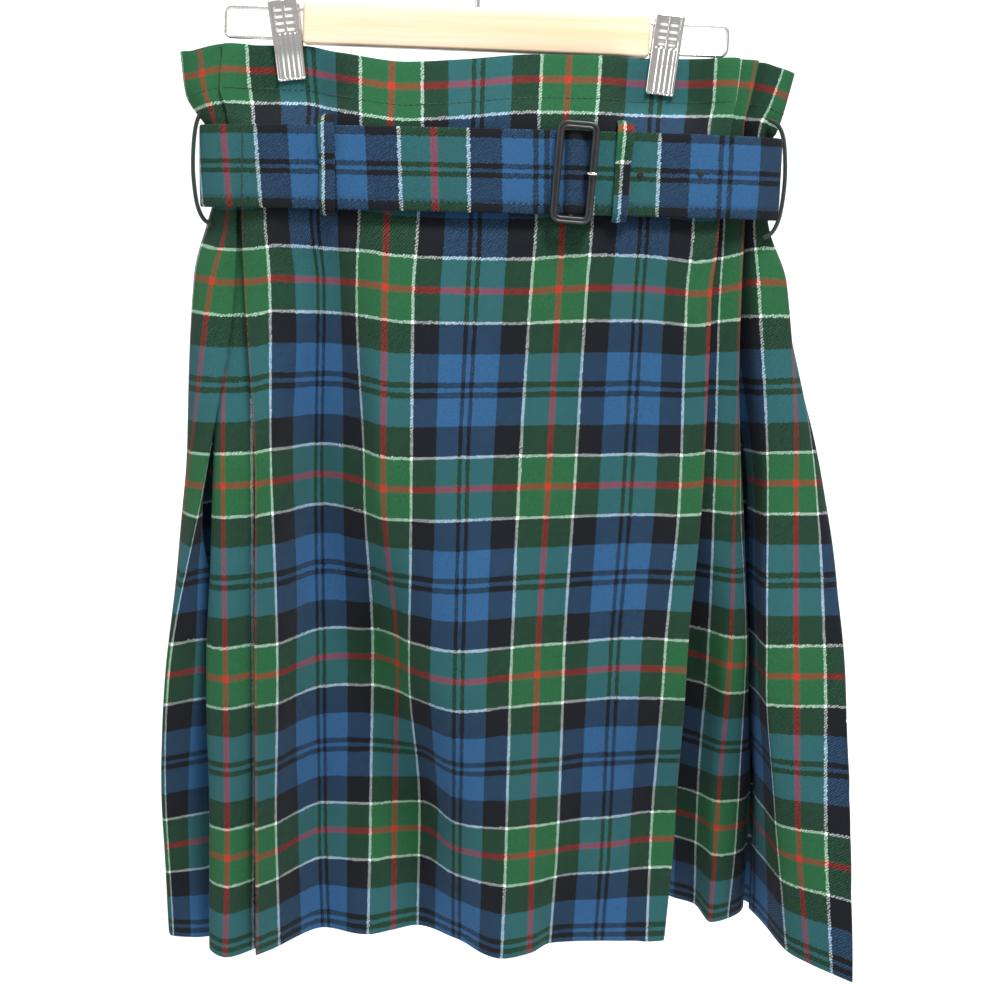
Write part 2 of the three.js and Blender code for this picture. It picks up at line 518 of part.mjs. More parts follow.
// A clip is two sprung plates round a barrel that sits on the rail's lower wire, and leans about it.
function addClip(side, sign, hanger) {
  const clip = new THREE.Group();
  clip.position.set(sign * CLIP.x, 0, CLIP.springZ);
  clip.rotation.y = THREE.MathUtils.degToRad(CLIP_LEAN[side]);
  hanger.add(clip);

  const grip = CLIP_GRIP[side] + CLOTH / 2 + CLEAR + CLIP.plate / 2;
  const barrelFit = CLIP.spring + CLEAR + CLIP.plate / 2;
  for (const [face, facing] of [["front", -1], ["back", 1]]) {
    const rows = [[CLIP.top, CLIP.spread], [-75, 5.8], [CLIP.springZ, barrelFit], [-92, grip + 0.4], [-96, grip], [CLIP.bottom, grip]];
    const grid = rows.map(([z, out]) => (
      [-0.5, 0.5].map((u) => new THREE.Vector3(facing * -u * CLIP.width, facing * out, z - CLIP.springZ))
    ));
    addMesh(`clip_${side}_${face}`, wallGeometry(grid, CLIP.plate), MATERIALS.chrome, clip);
  }
  const barrel = new THREE.CylinderGeometry(CLIP.spring, CLIP.spring, CLIP.width - 2, 16);
  barrel.rotateZ(Math.PI / 2);
  addMesh(`clip_${side}_spring`, barrel, MATERIALS.chrome, clip);
}

// ---------------------------------------------------------------- assembly

addPanels();
addBelt();
addBeltLoop("belt_loop_left", 0.52, 0.66);
addBeltLoop("belt_loop_right", 2.34, 2.46);
addThreadLoops();
addBuckle();
addHanger();

export default skirt;
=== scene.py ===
"""Checked wrap skirt hung flat from a wooden bar hanger by two metal clips.

The skirt is one long strip of wool twill that wraps round the body. A place on the strip is given by
"at", counted in repeats of the check along the strip, and "down", in millimetres below the waist edge.
Lengths are in millimetres here and become metres as each mesh is made. +Z is up, -Y is the front and
+X is to the right when the front is seen. The origin is the point where the hanger's hook bears.
"""

import logging
import math
from collections.abc import Callable, Sequence
from dataclasses import dataclass, field
from enum import Enum
from functools import partial

import bpy
import numpy as np
from bpy.types import Material, Node
from bpy.types import NodeOutputs as Outputs
from bpy.types import NodeSocket as Socket
from bpy.types import NodeTree as Tree
from bpy.types import Object as Piece
from mathutils import Matrix, Vector


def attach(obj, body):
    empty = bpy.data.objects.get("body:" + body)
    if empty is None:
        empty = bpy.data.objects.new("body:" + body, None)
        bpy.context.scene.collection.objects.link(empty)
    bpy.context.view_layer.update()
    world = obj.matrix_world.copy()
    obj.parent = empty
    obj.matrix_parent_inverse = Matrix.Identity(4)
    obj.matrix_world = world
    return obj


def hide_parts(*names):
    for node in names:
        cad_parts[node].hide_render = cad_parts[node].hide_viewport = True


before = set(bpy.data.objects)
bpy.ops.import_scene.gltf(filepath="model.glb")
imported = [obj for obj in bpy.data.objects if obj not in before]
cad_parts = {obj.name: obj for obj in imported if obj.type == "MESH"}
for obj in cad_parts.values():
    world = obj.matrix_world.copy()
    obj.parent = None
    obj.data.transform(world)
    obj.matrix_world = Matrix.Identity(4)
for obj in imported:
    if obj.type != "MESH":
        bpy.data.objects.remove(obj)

LOG = logging.getLogger("wrap_skirt")
MM = 0.001
TINY = 1e-9  # keeps a direction of no length from dividing by nothing

# ---------------- driving dimensions

CLOTH = 1.2  # thickness of the wool twill
CLOTH_TOP = -95.0  # height of the waist edge
SKIRT_MIDDLE = 7.0  # the skirt is clipped a little to the right of the hanger's middle
HALF_WAIST = 162.0  # half the width of the cloth at the belt
REPEAT_ACROSS = 100.0  # one repeat of the check, along the strip
REPEAT_DOWN = 116.0  # one repeat of the check, down the strip
FIRST_RED = 13.7  # the first red weft line, below the waist edge

BELT_TOP = 40.7  # the belt's upper edge, below the waist edge
BELT_WIDTH = 46.8
BELT_THICK = 2.4
BELT_CENTRE_Z = CLOTH_TOP - BELT_TOP - BELT_WIDTH / 2

EDGE_FLARE = 1.03  # the waist edge is this much wider than the cloth at the belt,
EDGE_END_FLARE = 0.055  # and wider still by this share at its two sides
EDGE_DEPTH = 0.6  # its depth from front to back, as a share of the depth at the belt

HEIGHTS = {"belt": 91.0, "hip": 130.0, "seat": 246.0, "thigh": 362.0, "knee": 470.0, "hem": 543.0}
HEM = HEIGHTS["hem"]
NECK = (0.0, 24.0, 36.0, 44.0, 82.0)  # heights down to the belt's, where the gathers ease open
NECK_SHARES = (0.0, 0.56, 0.93, 1.0, 1.0)  # how far the cloth has drawn in to the belt at each of them
LEVELS = np.array([*NECK, *HEIGHTS.values()])

Numbers = np.ndarray
Point2 = tuple[float, float]
Point3 = tuple[float, float, float]
Colour = tuple[float, float, float, float]
Border = Callable[[Numbers], Numbers]  # where a panel starts or ends on the strip, by "down"


class Slot(Enum):
    """Names for the finishes of the pieces."""

    WOOL = "wool_twill"
    CORD = "cord"
    LEATHER = "buckle_leather"
    STEEL = "bright_steel"
    WOOD = "pale_wood"


# ---------------- the cloth's lines


@dataclass(frozen=True)
class Line:
    """One line down the cloth, such as a fold edge or a trough: its (x, y) at six heights."""

    at: float
    belt: Point2
    hip: Point2
    seat: Point2
    thigh: Point2
    knee: Point2
    hem: Point2

    def places(self) -> list[Point2]:
        """The line's places at the heights below the waist, from the top."""
        return [self.belt, self.hip, self.seat, self.thigh, self.knee, self.hem]


@dataclass(frozen=True)
class Grip:
    """Where the two clips hold a layer of cloth, measured from the hanger's plane."""

    left: float
    right: float


FRONT_LAYER = Grip(-1.15, -2.3)
PLEAT_LAYER = Grip(0.6, 0.0)
MIDDLE_LAYER = Grip(0.0, 0.15)
BACK_LAYER = Grip(1.15, 2.3)

# Over-apron: from the pressed fold at its left to the wrap edge at its right.
APRON = (
    Line(0.00, (-136, -13), (-134, -17), (-124, -38), (-125, -40), (-125, -38), (-126, -34)),
    Line(0.16, (-121, -18), (-118, -20), (-115, -36), (-112, -35), (-114, -27), (-114, -20)),
    Line(0.50, (-92, -21), (-89, -13), (-91, -4), (-90, -2), (-90, 9), (-87, 6)),
    Line(0.84, (-66, -22.5), (-67, -20), (-61, -26), (-58, 4), (-59, 9), (-59, -2)),
    Line(1.00, (-50, -24), (-50, -27), (-49, -38), (-41, -10), (-44, 14), (-43, 5)),
    Line(1.16, (-32, -25), (-34, -28), (-33, -38), (-33, -20), (-28, 16), (-28, 13)),
    Line(1.50, (1, -25), (0, -27), (-3, -32), (-3, -36), (-2, -16), (-2, -5)),
    Line(1.84, (36, -25), (34, -25), (30, -26), (28, -31), (28, -26), (27, -30)),
    Line(2.00, (51, -25), (50, -24), (47, -22), (44, -23), (44, -21), (44, -22)),
    Line(2.16, (68, -24), (66, -23), (63, -19), (60, -18), (60, -15), (58, -9)),
    Line(2.50, (98, -22), (97, -19), (95, -15), (91, -15), (91, -4), (89, -3)),
    Line(2.84, (127, -18), (125, -16), (127, -11), (122, -12), (121, 7), (120, -2)),
    Line(3.00, (143, -16), (139, -15), (142, -9), (137.5, -11), (137.5, 9), (132.5, 0)),
)

# First pleat left of the apron: its fold edge, the bulge of its face, and its part under the apron.
LEFT_FRONT = (
    Line(-1.28, (-150, -1), (-152, -1), (-142, -22), (-144, -33), (-144, -22), (-146, -15)),
    Line(-1.16, (-147, -3), (-151, -4), (-150, -27), (-153, -38), (-154, -29), (-156, -24)),
    Line(-1.00, (-140, -6.5), (-146, -8), (-143.5, -34), (-141, -44), (-142, -38), (-144, -37)),
    Line(-0.84, (-128, -9.8), (-129, -12), (-127, -31), (-127, -33), (-128, -28), (-129, -26)),
    Line(-0.65, (-112, -13), (-110, -12), (-112, -18), (-113, -18), (-116, -10), (-116, -8)),
)

# Side pleat: from the back, round the skirt's left edge, to its ridge and into the trough beyond.
LEFT_SIDE = (
    Line(-2.45, (-146, 7.5), (-150, 12), (-158, 20), (-168, 32), (-173, 42), (-172, 48)),
    Line(-2.20, (-154, 1), (-166, 2), (-171.5, -2), (-180, 4), (-187, 16), (-186, 24)),
    Line(-2.00, (-144, -9), (-153, -12), (-167, -21), (-179, -22), (-187, -4), (-187, 6)),
    Line(-1.865, (-139, -11), (-140, -13), (-156, -33), (-176, -44), (-183, -24), (-183, -10)),
    Line(-1.65, (-138, -10), (-139, -12), (-157, -19), (-160, -30), (-168, -15), (-168, -12)),
    Line(-1.45, (-137, -9), (-138, -11), (-142, -12), (-148, -16), (-148, -4), (-148, -4)),
)

# Right side panel: from the deep trough, over its face to its pressed outer fold, round to the back.
RIGHT_SIDE = (
    Line(-8.54, (140, 6), (142, 12), (172, 28), (180, 38), (193, 48), (194, 50)),
    Line(-8.36, (152, 6), (154, 12), (176, 20), (184, 18), (195, 24), (201, 26)),
    Line(-8.16, (164, -3), (169, -2), (182, 2), (186, -10), (199, -7), (209, -11)),
    Line(-8.00, (172, 4), (187, 6), (200, 5), (204, -10), (211, -17), (219, -26)),
    Line(-7.84, (167, 8), (183, 14), (212, 8), (222, -8), (226, -24), (231, -39)),
    Line(-7.72, (163, 9), (178, 17), (217, 14), (234, -8), (240, -31), (241, -49)),
    Line(-7.55, (158, 8), (174, 18), (208, 30), (226, 10), (236, -12), (238, -30)),
    Line(-7.25, (146, 11), (156, 21), (193, 44), (214, 38), (224, 18), (229, 0)),
    Line(-6.85, (124, 16), (134, 23), (168, 50), (190, 62), (203, 54), (212, 40)),
)

# Under-apron: its hidden end, the stretch behind the apron, and the ridge pleat that shows beside it.
UNDER_APRON = (
    Line(-11.40, (-55, -18), (-52, -18), (-45, 0), (-40, 28), (-40, 40), (-40, 42)),
    Line(-10.70, (15, -20.5), (18, -20), (28, -2), (25, 22), (25, 38), (25, 40)),
    Line(-10.10, (72, -18.5), (74, -17), (84, 6), (84, 24), (80, 42), (78, 48)),
    Line(-9.75, (105, -15), (106, -14), (112, 8), (112, 34), (106, 56), (110, 64)),
    Line(-9.46, (126, -11.5), (126, -11), (130, 6), (130, 36), (132, 63), (134, 73)),
    Line(-9.32, (135, -10), (135, -10), (138, 4), (140, 32), (143, 54), (145, 63)),
    Line(-9.16, (146, -9), (145.5, -9), (149.5, 2), (154, 22), (155, 43), (158, 53)),
    Line(-9.00, (157, -8), (157, -8), (162.5, 6), (166, 10), (166, 27), (165, 27)),
    Line(-8.84, (158, -5), (158, -5), (166, 10), (176, 13), (179, 31), (177, 33)),
    Line(-8.72, (158, -3), (158, -2), (168, 15), (179, 19), (185, 38), (186, 42)),
    Line(-8.56, (156, 0), (156, 3), (166, 24), (178, 35), (190, 47), (190, 50)),
)

# Back: the smooth run of the panel, before its pleats.
BACK = (
    Line(-6.85, (124, 16), (134, 23), (168, 50), (190, 62), (203, 54), (212, 40)),
    Line(-5.90, (90, 18.5), (94, 24), (120, 54), (134, 80), (142, 88), (146, 90)),
    Line(-4.60, (-8, 21), (-8, 24), (6, 50), (14, 76), (20, 92), (22, 100)),
    Line(-3.30, (-100, 17), (-104, 21), (-110, 40), (-112, 62), (-114, 76), (-112, 82)),
    Line(-2.45, (-146, 7.5), (-150, 12), (-158, 20), (-168, 32), (-173, 42), (-172, 48)),
)

# Above the belt the gathers ease open. For some lines: how far to the right at the neck heights.
APRON_NECK = {
    0.0: (-1.5, -9.0, -8.6, -8.0, 0.0),
    0.16: (-5.2, -7.8, -7.9, -7.0, 0.0),
    0.5: (-1.5, -2.0, -2.0, -2.0, 0.0),
    0.84: (2.0, 1.2, 1.0, 1.0, 0.0),
    1.0: (3.4, 2.5, 1.7, 1.5, 0.0),
    1.16: (1.9, 1.9, 1.9, 1.5, 0.0),
    2.5: (2.5, 4.0, 4.0, 3.5, 0.0),
    2.84: (3.9, 7.1, 7.2, 6.5, 0.0),
    3.0: (0.7, 2.9, 4.4, 4.0, 0.0),
}
LEFT_SIDE_NECK = {
    -2.2: (-4.6, -9.1, -7.0, -3.0, 5.0),
    -2.0: (-4.7, -8.1, -8.0, -7.0, 0.0),
}
RIGHT_SIDE_NECK = {
    -8.36: (-3.0, -3.0, -2.0, -1.0, 0.0),
    -8.0: (-3.0, 0.0, 2.0, -1.5, 0.0),
    -7.84: (0.0, 3.0, 4.0, 1.0, 0.0),
}
UNDER_NECK = {
    -9.16: (-3.5, -1.0, 0.0, 0.0, 0.0),
    -9.0: (-8.1, -5.5, -3.5, -3.0, 0.0),
    -8.84: (-3.6, -4.1, -4.0, -3.0, 0.0),
}

# How far the weft hangs below its even height, at these places across and these heights.
SAG_X = np.array([
    -165, -145, -128, -114, -100, -80, -62, -42, -10, 30, 50, 75, 95, 118, 130, 145, 155, 165, 174, 185,
], float)
SAG_HEIGHTS = (44.0, 100.0, 220.0, 345.0, 460.0)
SAG = np.array([
    (0, -4, -4.2, -4.4, -4.5, -0.6, 2.4, 4.4, 2.5, -1.2, -1.6, -1.8, -2, -2.2, -2.5, -2.6, -2.5, -1.9, 1, 4),
    (-2, 0.9, 0.1, -2.2, -2.2, -1, -0.3, 2.1, 2.6, 2.1, 0.2, -1.4, -1.4, 0.2, 1.4, -1, -3.6, -7, -7.5, -7),
    (4, 3, 1.8, -1.2, -1, -1.6, -0.7, 1.9, 1.3, 0.4, 0, 0, -0.9, -0.5, -0.6, -2, -1, 0, -0.4, -1.5),
    (-1, 1, 0.8, -0.5, -0.8, -2.4, -1.2, -1.6, 1.6, -0.6, 0, -1.8, -3.4, -3, -2.2, -1.4, -0.6, 0.6, 0.8, 0.8),
    (0, 0, 0, 0, 0, 0, 0, 0, 0, 0, 0, 0, 0, 0, 0, 0, 0, 0, 0, 0),
], float)


@dataclass(frozen=True)
class Crease:
    """A soft ridge, or a trough where height is negative, pressed into a panel of cloth."""

    at: float
    down: float
    height: float
    across: float = 9.0
    along: float = 70.0
    lean: float = 0.0

    def lift(self, at: Numbers, down: Numbers) -> Numbers:
        """How far the crease moves the cloth outwards.

        Args:
            at: places along the strip.
            down: distances below the waist edge.

        Returns:
            The lift in millimetres at each place.
        """
        right = (at - self.at) * REPEAT_ACROSS
        below = down - self.down
        turn = math.radians(self.lean)
        aside = right * math.cos(turn) + below * math.sin(turn)
        lengthwise = below * math.cos(turn) - right * math.sin(turn)
        return self.height * np.exp(-((aside / self.across) ** 2) - np.abs(lengthwise / self.along) ** 3)


# ---------------- smooth curves through table values


def kept_slopes(places: Numbers, values: Numbers) -> Numbers:
    """Slopes of a curve that passes through every value and never swings past one.

    Args:
        places: increasing places, one for each value.
        values: the values, with any further axes.

    Returns:
        The slope at each place.
    """
    gaps = np.diff(places).reshape((-1,) + (1,) * (values.ndim - 1))
    rise = np.diff(values, axis=0) / gaps
    slopes = np.empty_like(values)
    slopes[0], slopes[-1] = rise[0], rise[-1]
    before, after = rise[:-1], rise[1:]
    weight_a = 2 * gaps[1:] + gaps[:-1]
    weight_b = gaps[1:] + 2 * gaps[:-1]
    keeps_on = before * after > 0
    safe_before = np.where(keeps_on, before, 1.0)
    safe_after = np.where(keeps_on, after, 1.0)
    slopes[1:-1] = np.where(
        keeps_on, (weight_a + weight_b) / (weight_a / safe_before + weight_b / safe_after), 0.0
    )
    return slopes


def smooth(places: Numbers, values: Numbers, query: Numbers) -> Numbers:
    """A smooth curve through table values, read at new places.

    Args:
        places: increasing places, one for each value.
        values: the values, with any further axes.
        query: the places to read, clamped to the table's ends.

    Returns:
        One value for each query, with the values' further axes.
    """
    places, values = np.asarray(places, float), np.asarray(values, float)
    slopes = kept_slopes(places, values)
    i = np.clip(np.searchsorted(places, query, side="left") - 1, 0, len(places) - 2)
    shape = (-1,) + (1,) * (values.ndim - 1)
    span = (places[i + 1] - places[i]).reshape(shape)
    u = np.clip((np.asarray(query) - places[i]).reshape(shape) / span, 0, 1)
    v = 1 - u
    ends = values[i] * v * v * (1 + 2 * u) + values[i + 1] * u * u * (1 + 2 * v)
    return ends + span * u * v * (slopes[i] * v - slopes[i + 1] * u)


def smoothstep(value: Numbers | float, low: float, high: float) -> Numbers:
    """A soft step: 0 below low and 1 above high."""
    t = np.clip((value - low) / (high - low), 0, 1)
    return t * t * (3 - 2 * t)


def height_curve(**values: float) -> Border:
    """A smooth function of "down" through one value for each named height.

    Args:
        values: the value at each height of HEIGHTS. The belt's is kept up to the waist edge.

    Returns:
        The function.
    """
    places = np.array([0.0, *HEIGHTS.values()])
    table = np.array([values["belt"], *(values[name] for name in HEIGHTS)])
    return partial(smooth, places, table)


def always(at: float) -> Border:
    """A border of a panel that follows one thread."""
    return partial(np.full_like, fill_value=at)


def drop_at(x: Numbers, down: Numbers) -> Numbers:
    """How far the cloth hangs below its even height.

    Args:
        x: places across the skirt.
        down: distances below the waist edge, one for each place.

    Returns:
        The drop in millimetres, less than 0 where the cloth is drawn up.
    """
    reach = np.clip(x, SAG_X[0], SAG_X[-1]).ravel()
    rows = [smooth(SAG_X, row, reach).reshape(x.shape) for row in SAG]
    drop = rows[0]
    for i in range(1, len(rows)):
        drop = drop + (rows[i] - rows[i - 1]) * smoothstep(down, SAG_HEIGHTS[i - 1], SAG_HEIGHTS[i])
    return drop


@dataclass(frozen=True)
class Swell:
    """A smooth rise and fall round one distance below the waist edge."""

    down: float
    reach: float
    height: float

    def at(self, down: Numbers) -> Numbers:
        """Its height at distances below the waist edge."""
        return self.height * np.exp(-(((down - self.down) / self.reach) ** 2))


DRAWN_UP = Swell(down=92, reach=9, height=4.5)  # just under the belt, the cloth is drawn up by this
PINCHED = Swell(down=86, reach=10, height=0.2)  # and the pleats lose this share of their depth


# ---------------- the clips' pinch


@dataclass(frozen=True)
class ClipSizes:
    """Sizes of the hanger's clips, and how they pinch the cloth."""

    x: float = 109.6
    width: float = 15.0
    top: float = -67.5
    bottom: float = -111.0
    plate: float = 0.8
    spread: float = 7.0
    spring: float = 3.9
    spring_z: float = -81.8
    gap: float = 0.3  # between the parts
    layer_half: float = 0.75  # half the thickness of a layer of cloth in the jaws
    pinch_flat: float = 15.5
    pinch_reach: float = 40.0
    pinch_starts: float = 5.0  # below the jaws
    pinch_ends: float = 10.0  # below the belt's upper edge

    def pinched_y(self, points: Numbers, layer: Grip) -> Numbers:
        """The layers lie flat under the clips' plates and ease out beside and below them.

        Args:
            points: points on the cloth's middle.
            layer: where the clips hold them.

        Returns:
            The points' new y.
        """
        x, y, z = points[..., 0], points[..., 1], points[..., 2]
        beside = smoothstep(np.abs(np.abs(x) - self.x), self.pinch_flat, self.pinch_reach)
        below = smoothstep(z, CLOTH_TOP - BELT_TOP - self.pinch_ends, self.bottom - self.pinch_starts)
        share = (1 - beside) * below
        return y * (1 - share) + np.where(x < 0, layer.left, layer.right) * share


CLIP = ClipSizes()


# ---------------- the cloth strip


class ClothStrip:
    """A table of lines, as a surface: each place on the strip gives a point on the cloth's middle."""

    def __init__(self, lines: Sequence[Line], layer: Grip, neck: dict[float, tuple] | None = None) -> None:
        """Reads the table.

        Args:
            lines: the lines down the cloth, by increasing "at".
            layer: where the clips hold this layer.
            neck: how far some lines move to the right at the neck heights.
        """
        self.layer = layer
        self.places = np.array([line.at for line in lines])
        belt = np.array([line.belt for line in lines], float)
        lower = np.array([line.places() for line in lines], float).transpose(1, 0, 2)
        edge = self.waist_edge(belt)
        shifts = np.array([(neck or {}).get(line.at, (0.0,) * len(NECK)) for line in lines])
        upper = []
        for shift, share in zip(shifts.T, NECK_SHARES):
            moved = edge * (1 - share) + belt * share
            moved[:, 0] += shift
            upper.append(moved)
        self.levels = np.concatenate([upper, lower])

    @staticmethod
    def waist_edge(belt: Numbers) -> Numbers:
        """Where the lines reach the waist edge, which flares outwards above the belt.

        Args:
            belt: the lines' (x, y) at the belt.

        Returns:
            Their (x, y) at the waist edge.
        """
        aside = belt[:, 0] - SKIRT_MIDDLE
        x = SKIRT_MIDDLE + aside * (EDGE_FLARE + EDGE_END_FLARE * np.abs(aside / HALF_WAIST) ** 3)
        return np.stack([x, EDGE_DEPTH * belt[:, 1]], axis=1)

    def points(self, at: Numbers, down: Numbers) -> Numbers:
        """Points on the cloth's middle.

        Args:
            at: places along the strip, one row for each height.
            down: the heights, one for each row.

        Returns:
            An array of rows, columns and (x, y, z).
        """
        columns = smooth(LEVELS, self.levels, down)
        plan = np.stack([smooth(self.places, columns[r], at[r]) for r in range(len(down))])
        below = down[:, None] * np.ones_like(at)
        z = CLOTH_TOP - below - drop_at(plan[..., 0], below)
        found = np.concatenate([plan, z[..., None]], axis=2)
        found[..., 2] += DRAWN_UP.at(below)
        found[..., 1] = CLIP.pinched_y(found, self.layer) * (1 - PINCHED.at(below))
        return found


def grid_normals(grid: Numbers) -> Numbers:
    """Unit normals of a grid of points, on the side away from the body.

    Args:
        grid: rows of points from the top, each from left to right when its outer face is seen.

    Returns:
        A normal for each point.
    """
    along = np.gradient(grid, axis=1)
    downward = np.gradient(grid, axis=0)
    normals = np.cross(downward, along)
    return normals / np.maximum(np.linalg.norm(normals, axis=2, keepdims=True), TINY)


WAVES = 14  # how many waves are laid over each other
WAVE_LENGTHS = (18, 60)  # the shortest and the longest
WAVE_SPREAD = 0.5  # how far they turn away from running down the cloth, in radians
WAVE_SLOWER_DOWN = 0.55  # they change more slowly down the cloth than along it
WAVE_HEIGHT = 0.16  # the longest wave's, in millimetres


def unevenness(at: Numbers, down: Numbers, seed: int) -> Numbers:
    """The cloth's slight natural waviness: long soft waves that mostly run down it.

    Args:
        at: places along the strip.
        down: distances below the waist edge.
        seed: fixes the waves.

    Returns:
        A lift of about one millimetre at most.
    """
    random = np.random.default_rng(seed)
    lift = np.zeros_like(at)
    for _ in range(WAVES):
        wave = random.uniform(*WAVE_LENGTHS)
        turn = random.normal(0, WAVE_SPREAD)
        phase = random.uniform(0, 2 * math.pi)
        run = (at * REPEAT_ACROSS * math.cos(turn) + down * WAVE_SLOWER_DOWN * math.sin(turn)) / wave
        lift += np.sin(2 * math.pi * run + phase) * wave / WAVE_LENGTHS[1]
    return lift * WAVE_HEIGHT


# ---------------- meshes


@dataclass
class MeshParts:
    """Points, faces and face-corner cloth coordinates of a mesh in the making."""

    points: list[Numbers] = field(default_factory=list)
    faces: list[Numbers] = field(default_factory=list)
    places: list[Numbers] = field(default_factory=list)
    count: int = 0

    def add(self, points: Numbers, faces: Numbers, places: Numbers | None = None) -> None:
        """Adds points, with four-sided faces that count from the first of them.

        Args:
            points: the new points in millimetres.
            faces: rows of four indices.
            places: cloth coordinates of each point.
        """
        flat = points.reshape(-1, 3)
        self.points.append(flat)
        self.faces.append(faces.reshape(-1, 4) + self.count)
        self.places.append(np.zeros((len(flat), 2)) if places is None else places.reshape(-1, 2))
        self.count += len(flat)

    def build(self, name: str, material: Material) -> Piece:
        """Makes the mesh object, in metres, smooth shaded.

        Args:
            name: the piece's name.
            material: its finish.

        Returns:
            The new object, linked to the scene.
        """
        points = np.concatenate(self.points) * MM
        faces = np.concatenate(self.faces)
        places = np.concatenate(self.places)
        mesh = bpy.data.meshes.new(name)
        mesh.from_pydata(points.tolist(), [], faces.tolist())
        layer = mesh.uv_layers.new(name="cloth")
        corners = np.empty(len(mesh.loops), np.int32)
        mesh.loops.foreach_get("vertex_index", corners)
        layer.data.foreach_set("uv", places[corners].astype(np.float32).ravel())
        mesh.polygons.foreach_set("use_smooth", [True] * len(mesh.polygons))
        mesh.update()
        return place_mesh(mesh, name, material)


def place_mesh(mesh: bpy.types.Mesh, name: str, material: Material) -> Piece:
    """Links a finished mesh to the scene as an object at the origin.

    Args:
        mesh: the mesh, with its place in its points.
        name: the piece's name.
        material: its finish.

    Returns:
        The new object.
    """
    mesh.name = name
    mesh.materials.clear()
    mesh.materials.append(material)
    piece = bpy.data.objects.new(name, mesh)
    bpy.context.scene.collection.objects.link(piece)
    return piece


def grid_faces(rows: int, columns: int, start: int = 0, flip: bool = False) -> Numbers:
    """Four-sided faces over a grid of points.

    Args:
        rows: how many rows of points.
        columns: how many points in a row.
        start: index of the grid's first point.
        flip: turns the faces over.

    Returns:
        Rows of four indices.
    """
    r, c = np.meshgrid(np.arange(rows - 1), np.arange(columns - 1), indexing="ij")
    first = (start + r * columns + c).ravel()
    faces = np.stack([first, first + columns, first + columns + 1, first + 1], axis=1)
    return faces[:, ::-1] if flip else faces


def border_ring(rows: int, columns: int) -> Numbers:
    """Indices round a grid's border, from its first point down its first column.

    Args:
        rows: how many rows of points.
        columns: how many points in a row.

    Returns:
        The indices, each once.
    """
    left = np.arange(rows) * columns
    bottom = (rows - 1) * columns + np.arange(1, columns)
    right = (np.arange(rows - 2, -1, -1)) * columns + columns - 1
    top = np.arange(columns - 2, 0, -1)
    return np.concatenate([left, bottom, right, top])


def border_outwards(grid: Numbers) -> Numbers:
    """Unit directions that point out of a grid's border, in the cloth.

    Args:
        grid: the grid of points.

    Returns:
        A direction for each point of border_ring.
    """
    rows, columns = grid.shape[:2]
    inner = grid[np.clip(np.arange(rows), 1, rows - 2)][:, np.clip(np.arange(columns), 1, columns - 2)]
    out = (grid - inner).reshape(-1, 3)[border_ring(rows, columns)]
    return out / np.maximum(np.linalg.norm(out, axis=1, keepdims=True), TINY)


EDGE_ACROSS, EDGE_OUT = 0.72, 0.7  # a rounded edge's points between a face and its tip, as shares


def wall(parts: MeshParts, grid: Numbers, normals: Numbers, outer: Numbers | float, inner: Numbers | float,
         places: Numbers) -> None:
    """Adds a closed wall with rounded edges on a grid of middle points.

    Args:
        parts: the mesh in the making.
        grid: the middle points.
        normals: their unit normals.
        outer: how far the outer face lies out from the middle.
        inner: how far the inner face lies in from the middle.
        places: cloth coordinates of the middle points.
    """
    rows, columns = grid.shape[:2]
    size = rows * columns
    out = np.broadcast_to(np.asarray(outer, float), (rows, columns))[..., None]
    into = np.broadcast_to(np.asarray(inner, float), (rows, columns))[..., None]
    faces_out = (grid + normals * out).reshape(-1, 3)
    faces_in = (grid - normals * into).reshape(-1, 3)
    ring = border_ring(rows, columns)
    outwards = border_outwards(grid)
    middle = (faces_out[ring] + faces_in[ring]) / 2
    half = np.linalg.norm(faces_out[ring] - faces_in[ring], axis=1, keepdims=True) / 2
    steps = [middle + (faces_out[ring] - middle) * EDGE_ACROSS + outwards * half * EDGE_OUT,
             middle + outwards * half,
             middle + (faces_in[ring] - middle) * EDGE_ACROSS + outwards * half * EDGE_OUT]
    points = np.concatenate([faces_out, faces_in, *steps])
    flat = places.reshape(-1, 2)
    all_places = np.concatenate([flat, flat, flat[ring], flat[ring], flat[ring]])
    faces = [grid_faces(rows, columns), grid_faces(rows, columns, size, flip=True)]
    count = len(ring)
    around = np.arange(count)
    loops = [ring, 2 * size + around, 2 * size + count + around, 2 * size + 2 * count + around, size + ring]
    for upper, lower in zip(loops, loops[1:]):
        faces.append(np.stack([upper, lower, np.roll(lower, -1), np.roll(upper, -1)], axis=1))
    parts.add(points, np.concatenate(faces), all_places)


SPAN_STEPS = 12  # points worked out between two given ones, before they are spaced evenly


def catmull_rom(points: Sequence[Point3] | Numbers, steps: int) -> Numbers:
    """A smooth line through points, evenly spaced along its length.

    Args:
        points: the points it passes through.
        steps: how many points to return, less one.

    Returns:
        The line's points.
    """
    given = np.asarray(points, float)
    given = np.concatenate([[2 * given[0] - given[1]], given, [2 * given[-1] - given[-2]]])
    knots = np.concatenate([[0], np.cumsum(np.sqrt(np.linalg.norm(np.diff(given, axis=0), axis=1)))])
    fine = []
    for i in range(1, len(given) - 2):
        t = np.linspace(knots[i], knots[i + 1], SPAN_STEPS, endpoint=False)[:, None]
        near = [(knots[i + k] - t) / (knots[i + k] - knots[i + k - 1]) for k in (0, 1, 2)]
        a = [near[k] * given[i + k - 1] + (1 - near[k]) * given[i + k] for k in (0, 1, 2)]
        b0 = ((knots[i + 1] - t) * a[0] + (t - knots[i - 1]) * a[1]) / (knots[i + 1] - knots[i - 1])
        b1 = ((knots[i + 2] - t) * a[1] + (t - knots[i]) * a[2]) / (knots[i + 2] - knots[i])
        fine.append(((knots[i + 1] - t) * b0 + (t - knots[i]) * b1) / (knots[i + 1] - knots[i]))
    fine.append(given[-2:-1])
    return resample(np.concatenate(fine), steps)


